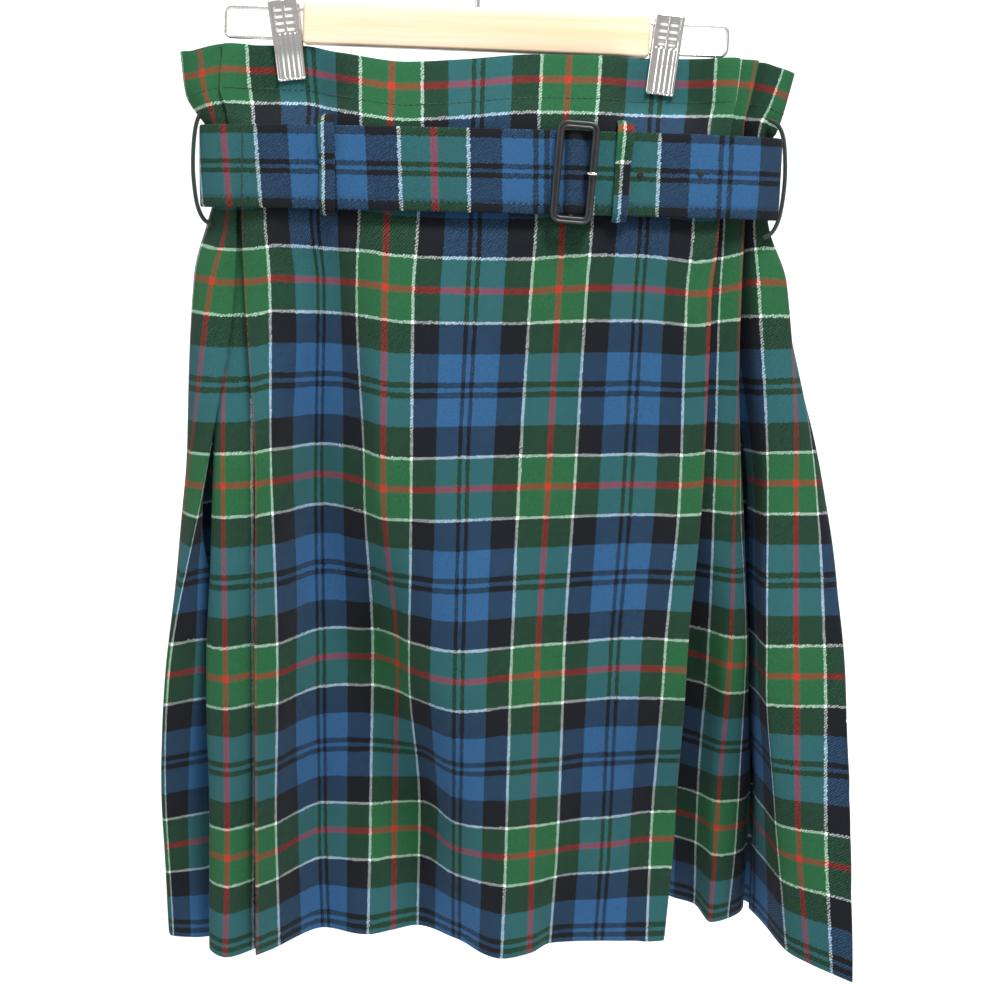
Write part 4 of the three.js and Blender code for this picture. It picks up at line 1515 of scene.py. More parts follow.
@dataclass
class Workshop:
    """What every piece is made with."""

    finishes: Finishes
    stitches: PieceMaker
    wire: PieceMaker
    cord: PieceMaker

    @staticmethod
    def keep(piece: Piece, slot: Slot, *nodes: str) -> Piece:
        """Puts a finished piece on the skirt's body.

        Args:
            piece: the piece.
            slot: not used.
            nodes: the CAD nodes that it stands for.

        Returns:
            The piece.
        """
        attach(piece, "root")
        if nodes:
            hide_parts(*nodes)
        return piece


@dataclass
class Fold:
    """A turned-in edge of a panel: the cloth lies double for its width."""

    width: float = 16.0
    extra: float = 0.9
    step: float = 1.5  # the turned-in edge slopes away over this


@dataclass
class Panel:
    """One width of the cloth strip, from the waist edge to the hem."""

    node: str
    strip: ClothStrip
    start: Border
    end: Border
    columns: int
    seed: int
    creases: Sequence[Crease] = ()
    start_fold: Fold | None = None
    end_fold: Fold | None = None
    pleats: int = 0
    waist_stitches: bool = False
    rows: int = 181

    waist_band: float = 25.0  # its stitches' distance below the waist edge
    proud: float = 0.12  # they stand out from the cloth by this
    pleat_face: float = 0.86  # the share of a knife pleat that is its face
    gathered: float = 0.22  # how far the natural waves show above the belt
    held: float = 0.85  # how far the belt takes them away, between these distances
    held_from: Point2 = (22.0, 36.0)
    held_to: Point2 = (92.0, 104.0)
    loose_from: Point2 = (12.0, 60.0)  # below the belt's height, they come back over this
    still_edge: float = 9.0  # they fade out over this at the panel's borders

    def shape(self) -> None:
        """Works out the grid of middle points, their normals and their cloth coordinates."""
        down = np.linspace(0, HEM, self.rows + 1)
        share = np.linspace(0, 1, self.columns + 1)
        start, end = self.start(down)[:, None], self.end(down)[:, None]
        self.at = start + (end - start) * share
        self.down = down[:, None] * np.ones_like(self.at)
        grid = self.strip.points(self.at, down)
        if self.pleats:
            phase = (self.at - start) / (end - start) * self.pleats
            along = phase - np.floor(phase)
            face = self.pleat_face
            rise = np.where(along < face, along / face, (1 - along) / (1 - face))
            depth = height_curve(**BACK_PLEAT_DEPTH)(down)[:, None]
            grid[..., 1] += depth * smoothstep(rise, 0, 1)
        from_border = np.minimum(share, 1 - share) * np.abs(end - start) * REPEAT_ACROSS
        calm = self.looseness() * smoothstep(from_border, 0, self.still_edge)
        lift = unevenness(self.at, self.down, self.seed) * calm
        for crease in self.creases:
            lift = lift + crease.lift(self.at, self.down)
        self.grid = grid + grid_normals(grid) * lift[..., None]
        self.normals = grid_normals(self.grid)
        self.places = np.stack([self.at, (self.down - FIRST_RED) / REPEAT_DOWN], axis=-1)

    def looseness(self) -> Numbers:
        """How far the natural waves show: little above the belt, hardly behind it and fully below.

        Returns:
            A share for each point of the grid.
        """
        below = smoothstep(self.down - HEIGHTS["belt"], *self.loose_from)
        held = self.held * smoothstep(self.down, *self.held_from) * (1 - smoothstep(self.down, *self.held_to))
        return (self.gathered + (1 - self.gathered) * below) * (1 - held)

    def inner_depth(self) -> Numbers:
        """How far the inner face lies in from the middle: more where the cloth is turned in.

        Returns:
            A depth for each point of the grid.
        """
        depth = np.full_like(self.at, CLOTH / 2)
        steps = np.linalg.norm(np.diff(self.grid, axis=1, prepend=self.grid[:, :1]), axis=2)
        run = np.cumsum(steps, axis=1)
        for fold, distance in ((self.start_fold, run), (self.end_fold, run[:, -1:] - run)):
            if fold is not None:
                depth += fold.extra * (1 - smoothstep(distance, fold.width - fold.step, fold.width))
        return depth

    def outer_line(self, down: float) -> Numbers:
        """A line just proud of the outer face, at one distance below the waist edge."""
        row = int(round(down / HEM * self.rows))
        return (self.grid + self.normals * (CLOTH / 2 + self.proud))[row, 1:self.columns]

    def build(self, workshop: Workshop) -> None:
        """Makes the panel and its stitches.

        Args:
            workshop: finishes and makers.
        """
        self.shape()
        parts = MeshParts()
        wall(parts, self.grid, self.normals, CLOTH / 2, self.inner_depth(), self.places)
        cloth = parts.build(f"cloth_{self.node}", workshop.finishes.wool)
        workshop.keep(cloth, Slot.WOOL, self.node)
        if self.waist_stitches:
            line = resample(self.outer_line(self.waist_band), 400)
            stitch = workshop.stitches.run(f"stitches_{self.node}", [line], workshop.finishes.waist_thread)
            workshop.keep(stitch, Slot.CORD)


BACK_PLEAT_DEPTH = {"belt": 0, "hip": 2, "seat": 5, "thigh": 7, "knee": 9, "hem": 10}
BACK_SEAM = -4.65  # the middle back
LEFT_SEAM = -2.45  # where the left side pleat meets the back,
RIGHT_SEAM = -6.85  # the right side panel meets it,
RIDGE_SEAM = -9.6  # and the ridge pleat meets the under-apron
STRIP_END = -11.4
SEAM = 0.0006  # half the gap at such a place, in repeats

APRON_CREASES = (
    Crease(0.36, 150, 1.5, 8, 45, 8), Crease(0.70, 170, -1.8, 10, 60, -6), Crease(1.30, 150, 1.2, 9, 40, 5),
    Crease(1.62, 420, 1.6, 14, 90, -4), Crease(2.28, 470, -1.6, 13, 80, 3), Crease(0.28, 430, -1.5, 9, 90, 2),
)


APRON_FOLD = 0.022  # the over-apron's start above the belt,
FOLD_LEAN = 0.006  # and how much sooner it starts below it
FOLD_LEANS_AT = (45, 85)
EASED_AT = (60, 86)  # where the borders come to their places at the belt


def apron_start(down: Numbers) -> Numbers:
    """The over-apron's pressed fold, which leans out a little behind the belt."""
    return APRON_FOLD - FOLD_LEAN * smoothstep(down, *FOLD_LEANS_AT)


def eased(below: Border, shift: float) -> Border:
    """A border that moves along the strip above the belt, where the gathers ease open.

    Args:
        below: the border from the belt down.
        shift: how far it moves, in repeats.

    Returns:
        The whole border.
    """
    def border(down: Numbers) -> Numbers:
        """The border's places, by distance below the waist edge."""
        return below(down) + shift * (1 - smoothstep(down, *EASED_AT))

    return border


def skirt_panels() -> list[Panel]:
    """The eight widths of the skirt, from the over-apron round to the under-apron's end.

    Returns:
        The panels, not yet built.
    """
    apron = ClothStrip(APRON, FRONT_LAYER, APRON_NECK)
    left_front = ClothStrip(LEFT_FRONT, PLEAT_LAYER)
    left_side = ClothStrip(LEFT_SIDE, FRONT_LAYER, LEFT_SIDE_NECK)
    right_side = ClothStrip(RIGHT_SIDE, BACK_LAYER, RIGHT_SIDE_NECK)
    under = ClothStrip(UNDER_APRON, MIDDLE_LAYER, UNDER_NECK)
    back = ClothStrip(BACK, BACK_LAYER)
    pleat_inner = height_curve(belt=-0.86, hip=-0.78, seat=-0.65, thigh=-0.65, knee=-0.65, hem=-0.65)
    pleat_outer = height_curve(belt=-1.16, hip=-1.16, seat=-1.22, thigh=-1.26, knee=-1.28, hem=-1.28)
    apron_low = height_curve(belt=2.985, hip=3.004, seat=2.982, thigh=2.978, knee=2.978, hem=2.978)
    trough_end = height_curve(belt=-1.865, hip=-1.865, seat=-1.74, thigh=-1.45, knee=-1.45, hem=-1.45)
    trough_low = height_curve(belt=-8.48, hip=-8.48, seat=-8.48, thigh=-8.53, knee=-8.53, hem=-8.53)
    ridge_low = height_curve(belt=-8.62, hip=-8.62, seat=-8.62, thigh=-8.58, knee=-8.57, hem=-8.57)
    pressed = Fold()
    return [
        Panel("front_apron", apron, apron_start, eased(apron_low, -0.013), 104, 11, APRON_CREASES,
              pressed, pressed, waist_stitches=True),
        Panel("left_front_pleat", left_front, pleat_outer, pleat_inner, 26, 12, start_fold=pressed),
        Panel("left_side_pleat", left_side, always(LEFT_SEAM + SEAM), trough_end, 40, 13,
              waist_stitches=True),
        Panel("right_side_panel", right_side, eased(trough_low, 0.17), always(RIGHT_SEAM - SEAM), 60, 14,
              waist_stitches=True),
        Panel("under_apron", under, always(STRIP_END), always(RIDGE_SEAM - SEAM), 60, 15,
              start_fold=pressed),
        Panel("right_front_pleat", under, always(RIDGE_SEAM + SEAM), eased(ridge_low, -0.34), 44, 16),
        Panel("back_panel_right", back, always(RIGHT_SEAM + SEAM), always(BACK_SEAM - SEAM), 108, 17,
              pleats=3, waist_stitches=True),
        Panel("back_panel_left", back, always(BACK_SEAM + SEAM), always(LEFT_SEAM - SEAM), 108, 18,
              pleats=3, waist_stitches=True),
    ]


@dataclass
class Belt:
    """The self-fabric belt: a flat oval round the waist, with its ends under the buckle."""

    middle_x: float = 8.5
    middle_y: float = -1.5
    half_x: float = 169.0
    half_y: float = 27.5
    squareness: float = 2.2
    point_spacing: float = 1.6
    overlap: float = 12.0  # the inner end runs this far past the buckle's middle,
    tucked: float = 1.0  # and the outer end this far past its edge
    behind_gap: float = 0.002  # half the gap between the two lengths behind, as an angle
    buckle_lift: float = 3.25  # the outer length rises over the buckle's bar by this
    bar_reach: Point2 = (1.6, 7.0)
    phases: Point2 = (-79.6, 152.6)  # where the check starts on each length,
    repeats: Point2 = (115.3, 121.3)  # and how long it is there
    lean_at: Point3 = (-160.0, -60.0, 40.0)
    leans: Point3 = (0.085, 0.05, 0.02)  # the second length's lines lean at these places
    edge_inset: float = 0.9
    plump: float = 0.24  # the belt is thinner by this share at its edges
    groove: float = 0.34
    groove_width: float = 1.1
    stitch_height: float = -17.6
    tack_x: float = -133.7
    tack_half: float = 22.0
    eyelets: tuple[Point2, ...] = ((94.3, 64.1), (129.0, 62.6))  # x, and down from the waist edge
    eyelet_x: float = 1.0
    eyelet_z: float = 0.9
    eyelet_thread: float = 0.95

    def oval(self, turn: Numbers) -> Numbers:
        """Points of the flat oval, seen from above.

        Args:
            turn: angles round it.

        Returns:
            Their (x, y).
        """
        power = 2 / self.squareness
        c, s = np.cos(turn), np.sin(turn)
        x = self.middle_x + self.half_x * np.sign(c) * np.abs(c) ** power
        y = self.middle_y + self.half_y * np.sign(s) * np.abs(s) ** power
        return np.stack([x, y], axis=-1)

    def front_y(self, x: Numbers | float) -> Numbers:
        """The oval's front side at an x."""
        out = np.abs((x - self.middle_x) / self.half_x)
        return self.middle_y - self.half_y * (1 - out ** self.squareness) ** (1 / self.squareness)

    def turn_at(self, x: float) -> float:
        """The oval's angle past its front middle, at an x to the right of it."""
        return math.asin(((x - self.middle_x) / self.half_x) ** (self.squareness / 2))

    def paths(self) -> list[Numbers]:
        """The two lengths of the belt, each from left to right when it is in front of the eye.

        Returns:
            The (x, y) of each length's points.
        """
        start = -math.pi / 2 + self.turn_at(BUCKLE.x - self.overlap)
        end = 1.5 * math.pi + self.turn_at(BUCKLE.x - BUCKLE.width / 2 - self.tucked)
        paths = []
        behind = math.pi / 2
        for low, high in ((start, behind - self.behind_gap), (behind + self.behind_gap, end)):
            line = self.oval(np.linspace(low, high, 1600))
            front = line[:, 1] < self.middle_y
            if low == start:
                lift = self.buckle_lift * (1 - smoothstep(np.abs(line[:, 0] - BUCKLE.x), *self.bar_reach))
                line[:, 1] -= np.where(front, lift, 0)
            paths.append(resample(line, int(line_length(line) / self.point_spacing)))
        return paths

    @staticmethod
    def outwards(path: Numbers) -> Numbers:
        """Unit directions away from the waist at each (x, y) of a path."""
        along = np.gradient(path, axis=0)
        along /= np.linalg.norm(along, axis=1, keepdims=True)
        return np.stack([along[:, 1], -along[:, 0]], axis=-1)

    def length_from_middle(self, path: Numbers) -> Numbers:
        """Length along the belt from its front middle, positive to the right.

        Args:
            path: the (x, y) of one of its lengths.

        Returns:
            The length to each of its points.
        """
        run = np.concatenate([[0], np.cumsum(np.linalg.norm(np.diff(path, axis=0), axis=1))])
        front = path[:, 1] < self.middle_y
        nearest = np.argmin(np.where(front, np.abs(path[:, 0] - self.middle_x), np.inf))
        return run - run[nearest] + (path[nearest, 0] - self.middle_x)

    def build(self, workshop: Workshop) -> None:
        """Makes the belt, its topstitching and its eyelets.

        Args:
            workshop: finishes and makers.
        """
        paths = self.paths()
        parts = MeshParts()
        for path, phase, slanted, repeat in zip(paths, self.phases, (0.0, 1.0), self.repeats):
            self.add_length(parts, path, phase, slanted, repeat)
        belt = parts.build("cloth_belt", workshop.finishes.wool_belt)
        workshop.keep(belt, Slot.WOOL, "belt")
        row, tacks, eyes = self.sew(workshop, paths)
        length = sum(line_length(path) for path in paths)

    def add_length(self, parts: MeshParts, path: Numbers, phase: float, slanted: float,
                   repeat: float) -> None:
        """Adds one length of the belt, pillowed, with a groove under its topstitching.

        Args:
            parts: the belt's mesh in the making.
            path: the length's (x, y).
            phase: where the check starts.
            slanted: the share of the lean that its lines have.
            repeat: the check's repeat along it.
        """
        edge = BELT_WIDTH / 2 - self.edge_inset
        by_groove = self.stitch_height + np.linspace(-2.4, 2.4, 9)
        heights = np.unique(np.concatenate([np.linspace(edge, -edge, 20), by_groove]))[::-1]
        ways = self.outwards(path)
        rows = np.ones((len(heights), 1))
        z = heights[:, None] * np.ones(len(path))
        grid = np.stack([path[:, 0] * rows, path[:, 1] * rows, BELT_CENTRE_Z + z], axis=-1)
        normals = np.stack([ways[:, 0] * rows, ways[:, 1] * rows, np.zeros_like(z)], axis=-1)
        run = self.length_from_middle(path)
        pillow = 1 - self.plump * (np.abs(z) / edge) ** 5
        ripple = 1 + 0.5 * np.sin(run / 1.9 + 0.8 * np.sin(run / 7.3)) * np.sin(run / 23.0 + 0.7)
        groove = np.exp(-(((z - self.stitch_height) / self.groove_width) ** 2)) * self.groove * ripple
        outer = (BELT_THICK / 2 - 0.08) * pillow - groove
        slant = slanted * np.interp(run, self.lean_at, self.leans)
        places = np.stack([(run + slant * z + phase) / repeat, 0.5 - z / 100], axis=-1)
        wall(parts, grid, normals, outer, BELT_THICK / 2 * pillow, places)

    def sew(self, workshop: Workshop, paths: list[Numbers]) -> list[Piece]:
        """Makes the topstitching, the tack left of the buckle and the eyelets right of it.

        Args:
            workshop: finishes and makers.
            paths: the (x, y) of both lengths.

        Returns:
            The three pieces.
        """
        finishes, stitches = workshop.finishes, workshop.stitches
        y = float(self.front_y(self.tack_x)) - BELT_THICK / 2 - 0.1
        heights = np.linspace(self.tack_half, -self.tack_half, 45)
        line = np.array([(self.tack_x + 0.02 * z, y, BELT_CENTRE_Z + z) for z in heights])
        sizes = {"Spacing": 2.6 * MM, "Radius": 0.42 * MM, "Seed": 5}
        tacks = workshop.keep(stitches.run("stitches_tack", [line], finishes.thread, **sizes), Slot.CORD)
        lines = []
        for path in paths:
            proud = path + self.outwards(path) * (BELT_THICK / 2 - 0.22)
            lines.append(np.column_stack([proud, np.full(len(path), BELT_CENTRE_Z + self.stitch_height)]))
        row = stitches.run("stitches_belt", lines, finishes.thread, Radius=0.26 * MM, Seed=9)
        workshop.keep(row, Slot.CORD)
        parts = MeshParts()
        turn = np.linspace(0, 2 * math.pi, 19)[:-1]
        flat = np.zeros_like(turn)
        ring = np.stack([np.cos(turn) * self.eyelet_x, flat, np.sin(turn) * self.eyelet_z], axis=-1)
        overlapped = np.concatenate([ring, ring[:2]])
        # the rings are near black, partly painted shade standing in for the holes, which the mesh doesn't cut
        for x, down in self.eyelets:
            place = (x, float(self.front_y(x)) - BELT_THICK / 2 - 0.05, CLOTH_TOP - down)
            radii = np.full(len(overlapped), self.eyelet_thread)
            parts.add(*swept_tube(overlapped + np.array(place), radii, 10))
        return [row, tacks, workshop.keep(parts.build("belt_eyelets_with_painted_hole_shade", finishes.eyelet_thread), Slot.CORD)]


@dataclass(frozen=True)
class BuckleSizes:
    """Sizes of the buckle."""

    x: float = 56.8
    width: float = 24.5
    height: float = 57.2
    bar: float = 4.4
    thick: float = 4.5
    lift: float = 0.8
    tilt: float = 3.5


BUCKLE = BuckleSizes()


@dataclass
class Buckle:
    """A leather-covered frame with two raised ridges, a steel bar and a prong."""

    belt: Belt
    corner: float = 3.8
    bar_radius: float = 1.05
    bar_inset: float = 2.6
    bar_behind: float = 1.4
    prong: tuple[Point3, ...] = (
        (6.2, -0.6, 0), (6.6, -3.2, 0), (7.6, -5.9, 0), (9.4, -6.5, 0), (12.2, -6.4, 0),
    )
    prong_radii: Point3 = (0.95, 0.9, 0.62)  # at its root, near its tip and at its tip

    def placed(self, points: Numbers) -> Numbers:
        """Points in the buckle's own frame, put on the belt's face."""
        face = float(self.belt.front_y(BUCKLE.x)) - BELT_THICK / 2
        return turned(points, BUCKLE.tilt, (BUCKLE.x, face, BELT_CENTRE_Z))

    @staticmethod
    def section() -> list[Point2]:
        """The frame's section, as (outwards, y) from the middle of its width.

        Returns:
            The section's points, from its back's inner edge round its front.
        """
        half, back = BUCKLE.bar / 2, -BUCKLE.lift
        front = back - BUCKLE.thick
        return [
            (-half + 0.4, back), (-half, back - 0.5), (-half, front + 1.8), (-half + 0.25, front + 0.75),
            (-half + 0.7, front + 0.22), (-half + 1.15, front + 0.12), (-half + 1.6, front + 0.5),
            (-0.25, front + 1.0), (0.15, front + 0.95), (half - 1.75, front + 0.35),
            (half - 1.2, front), (half - 0.6, front + 0.15), (half - 0.2, front + 0.7),
            (half, front + 1.6), (half, back - 0.5), (half - 0.4, back),
        ]

    def build(self, workshop: Workshop) -> None:
        """Makes the frame, the bar and the prong.

        Args:
            workshop: finishes and makers.
        """
        half = BUCKLE.bar / 2
        line, ways = rounded_ring(BUCKLE.width / 2 - half, BUCKLE.height / 2 - half, self.corner)
        section = self.section()
        rings = [line + ways * aside + np.array([0, y, 0]) for aside, y in section]
        parts = MeshParts()
        points = self.placed(np.stack(rings, axis=1).reshape(-1, 3))
        parts.add(points, wrapped_faces(len(line), len(section), closed=True))
        leather = parts.build("leather_buckle_frame", workshop.finishes.leather)
        workshop.keep(leather, Slot.LEATHER, "buckle_frame")
        heights = np.linspace(BUCKLE.height / 2 - self.bar_inset, self.bar_inset - BUCKLE.height / 2, 12)
        bar = np.array([(0, self.bar_behind - BUCKLE.lift, z) for z in heights])
        prong = catmull_rom(self.prong, 24)
        tapered = np.interp(np.linspace(0, 1, len(prong)), (0, 0.75, 1), self.prong_radii)
        for node, line, radii in (
            ("buckle_bar", bar, np.full(len(bar), self.bar_radius)), ("buckle_prong", prong, tapered),
        ):
            parts = MeshParts()
            parts.add(*swept_tube(self.placed(line), radii))
            workshop.keep(parts.build(f"steel_{node}", workshop.finishes.steel), Slot.STEEL, node)


LOOP_COLUMNS = 9  # points across a belt loop
WHITE_LINE = 0.158  # the middle of the white line, in repeats from the red one


@dataclass
class BeltLoop:
    """A carrier of checked cloth that holds the belt against the skirt."""

    node: str
    belt: Belt
    start: float
    end: float
    line_aside: float  # the white line that it is cut along, left of its middle
    check_place: float  # its cloth's place in the check's height,
    check_down: float  # at this distance below the waist edge
    on_cloth: float = 3.6  # how far it stands out from the over-apron's middle
    on_belt: float = (BELT_THICK + 1.5) / 2 + 0.3
    bulge: float = 0.35
    flat_width: float = 10.6
    steps: tuple[tuple[float, bool], ...] = (  # down from the waist edge, and whether over the belt
        (34.6, False), (39.1, True), (64.1, True), (87.8, True), (90.4, False),
    )

    def middle_lines(self) -> Numbers:
        """The loop's middle, as points across it at each of its steps.

        Returns:
            Rows of points, from the top.
        """
        apron = ClothStrip(APRON, FRONT_LAYER, APRON_NECK)
        at = (self.start + (self.end - self.start) * np.linspace(0, 1, LOOP_COLUMNS))[None, :]
        rows = []
        for down, over_belt in self.steps:
            line = apron.points(at, np.array([down]))[0]
            on_belt = self.belt.front_y(line[:, 0]) - self.on_belt
            line[:, 1] = on_belt if over_belt else line[:, 1] - self.on_cloth
            line[:, 2] = CLOTH_TOP - down
            rows.append(line)
        return np.array(rows)

    def build(self, workshop: Workshop) -> None:
        """Makes the loop and the stitches across its ends.

        Args:
            workshop: finishes and makers.
        """
        table = self.middle_lines()
        grid = np.stack([catmull_rom(table[:, c], 44) for c in range(LOOP_COLUMNS)], axis=1)
        normals = grid_normals(grid)
        middle = LOOP_COLUMNS // 2
        aside = grid[..., 0] - grid[:, middle:middle + 1, 0]
        down = CLOTH_TOP - grid[..., 2]
        places = np.stack([WHITE_LINE + (aside + self.line_aside) / REPEAT_ACROSS,
                           self.check_place + (down - self.check_down) / REPEAT_DOWN], axis=-1)
        share = np.linspace(0, 1, LOOP_COLUMNS)
        bulge = self.bulge * (1 - (2 * share - 1) ** 4)[None, :] * np.ones_like(down)
        parts = MeshParts()
        wall(parts, grid, normals, CLOTH / 2 + bulge, CLOTH / 2, places)
        loop = parts.build(f"cloth_{self.node}", workshop.finishes.wool_belt)
        workshop.keep(loop, Slot.WOOL, self.node)
        ends = [(grid + normals * (CLOTH / 2 + 0.42))[row, 1:-1] for row in (3, -4)]
        sewn = workshop.stitches.run(f"stitches_{self.node}", ends, workshop.finishes.thread,
                                     Spacing=2.2 * MM, Length=1.6 * MM, Radius=0.22 * MM, Seed=4)
        workshop.keep(sewn, Slot.CORD)
        line_length(grid[:, middle]) * MM


@dataclass
class ThreadLoop:
    """A cord carrier that bows outwards round the belt at a side seam."""

    node: str
    side: int
    seam: float
    radius: float = 1.35
    bow: tuple[Point3, ...] = (  # out from the seam, y, and down from the waist edge
        (-3.5, -5.5, 30.5), (1.6, -4.0, 33.0), (5.0, -3.5, 39.0), (7.2, -4.0, 55.0),
        (7.2, -4.0, 72.0), (4.9, -3.5, 88.0), (1.2, -4.0, 95.0), (-3.5, -6.0, 97.5),
    )

    def build(self, workshop: Workshop) -> None:
        """Makes the loop.

        Args:
            workshop: finishes and makers.
        """
        bow = [(self.seam + self.side * out, y, CLOTH_TOP - down) for out, y, down in self.bow]
        cord = workshop.cord.run(f"cord_{self.node}", [catmull_rom(bow, 100)], workshop.finishes.cord,
                                 Radius=self.radius * MM)
        workshop.keep(cord, Slot.CORD, self.node)


# ---------------- the hanger


@dataclass
class Hanger:
    """A wooden bar with a wire hook, two wire rails and a sprung steel clip on each."""

    tilt: float = 0.85
    half_length: float = 100.0
    top: float = -66.5
    bottom: float = -90.5
    thick: float = 9.0
    rounding: float = 3.0  # of the bar's ends,
    edge_radius: float = 1.8  # and of its long edges
    end_share: float = 0.8  # the ends are rounded by this share
    plain_half: float = 90.0
    hook_radius: float = 20.0
    hook_wire: float = 1.5
    rail_wire: float = 0.95
    rail_heights: Point2 = (-71.3, -87.8)
    rail_straight: float = 120.0
    rail_reach: float = 145.0
    rail_corner: float = 4.0
    glue: float = 0.3  # the wires start this far from the bar
    leans: Point2 = (-8.1, 5.0)
    grips: Point2 = (1.15, 2.3)  # how far the outermost layer lies from the middle, in each clip

    def hung(self, points: Numbers) -> Numbers:
        """Points in the hanger's own frame, as it hangs."""
        return turned(points, self.tilt, (0, 0, 0))

    def build(self, workshop: Workshop) -> None:
        """Makes the bar, the hook, the rails and the clips.

        Args:
            workshop: finishes and makers.
        """
        self.build_bar(workshop)
        self.build_wires(workshop)
        for side, sign, lean, grip in zip(("left", "right"), (-1, 1), self.leans, self.grips):
            jaw = grip + CLIP.layer_half + CLIP.gap + CLIP.plate / 2
            Clip(self, side, sign, lean, jaw).build(workshop)

    def build_bar(self, workshop: Workshop) -> None:
        """The wooden bar, with rounded edges and ends.

        Args:
            workshop: finishes and makers.
        """
        half_height, half_depth = (self.top - self.bottom) / 2, self.thick / 2
        section, _ = rounded_ring(half_depth, half_height, self.edge_radius, 6)
        section = np.stack([np.zeros(len(section)), section[:, 0], section[:, 2]], axis=-1)
        from_end = np.array([0.0, 0.25, 0.8, 1.7, 3.0])
        inset = self.rounding - np.sqrt(self.rounding ** 2 - (self.rounding - from_end) ** 2)
        flat = self.rounding * self.end_share
        stations = [(-self.half_length, 0.02, flat), (-self.half_length, 0.97, flat)]
        stations += [(-self.half_length + d, 1.0, i) for d, i in zip(from_end, inset * self.end_share)]
        middle = [(x, 1.0, 0.0) for x in np.linspace(-self.plain_half, self.plain_half, 19)]
        stations += middle + [(-x, share, i) for x, share, i in stations[::-1]]
        rings = []
        for x, share, i in stations:
            deep, high = (half_depth - i) / half_depth * share, (half_height - i) / half_height * share
            middle_z = (self.top + self.bottom) / 2
            rings.append(section * np.array([1, deep, high]) + np.array([x, 0, middle_z]))
        parts = MeshParts()
        parts.add(self.hung(np.concatenate(rings)), wrapped_faces(len(rings), len(section)))
        workshop.keep(parts.build("wood_hanger_bar", workshop.finishes.wood), Slot.WOOD, "hanger_bar")

    def build_wires(self, workshop: Workshop) -> None:
        """The hook, whose inside rests on the origin, and the rails that stand out from the bar's ends.

        Args:
            workshop: finishes and makers.
        """
        finish, radius = workshop.finishes.wire_steel, self.hook_radius
        line = [(0, 0, self.top + self.glue), (0, 0, -56), (1.5, 0, -48), (10, 0, -39), (17.5, 0, -29)]
        turns, centre = np.radians(np.arange(-8, 201, 26)), self.hook_wire - radius
        line += [(radius * math.cos(turn), 0, centre + radius * math.sin(turn)) for turn in turns]
        path = self.hung(catmull_rom(line, 150))
        hook = workshop.wire.run("wire_hook", [path], finish, Radius=self.hook_wire * MM, Sides=20)
        workshop.keep(hook, Slot.STEEL, "hanger_hook")
        upper, lower = self.rail_heights
        reach, corner = self.rail_reach - self.rail_corner, self.rail_corner
        turns = np.linspace(math.pi / 2, 0, 9)
        bend = [(reach + corner * math.cos(t), 0, upper - corner + corner * math.sin(t)) for t in turns]
        rail = [(self.half_length + self.glue, 0, upper), (self.rail_straight, 0, upper)] + bend
        rail += [(x, 0, upper + lower - z) for x, _, z in rail[::-1]]
        for node, sign in (("rail_left", -1), ("rail_right", 1)):
            path = self.hung(np.array(rail) * np.array([sign, 1, 1]))
            wire = workshop.wire.run(f"wire_{node}", [path], finish, Radius=self.rail_wire * MM)
            workshop.keep(wire, Slot.STEEL, node)


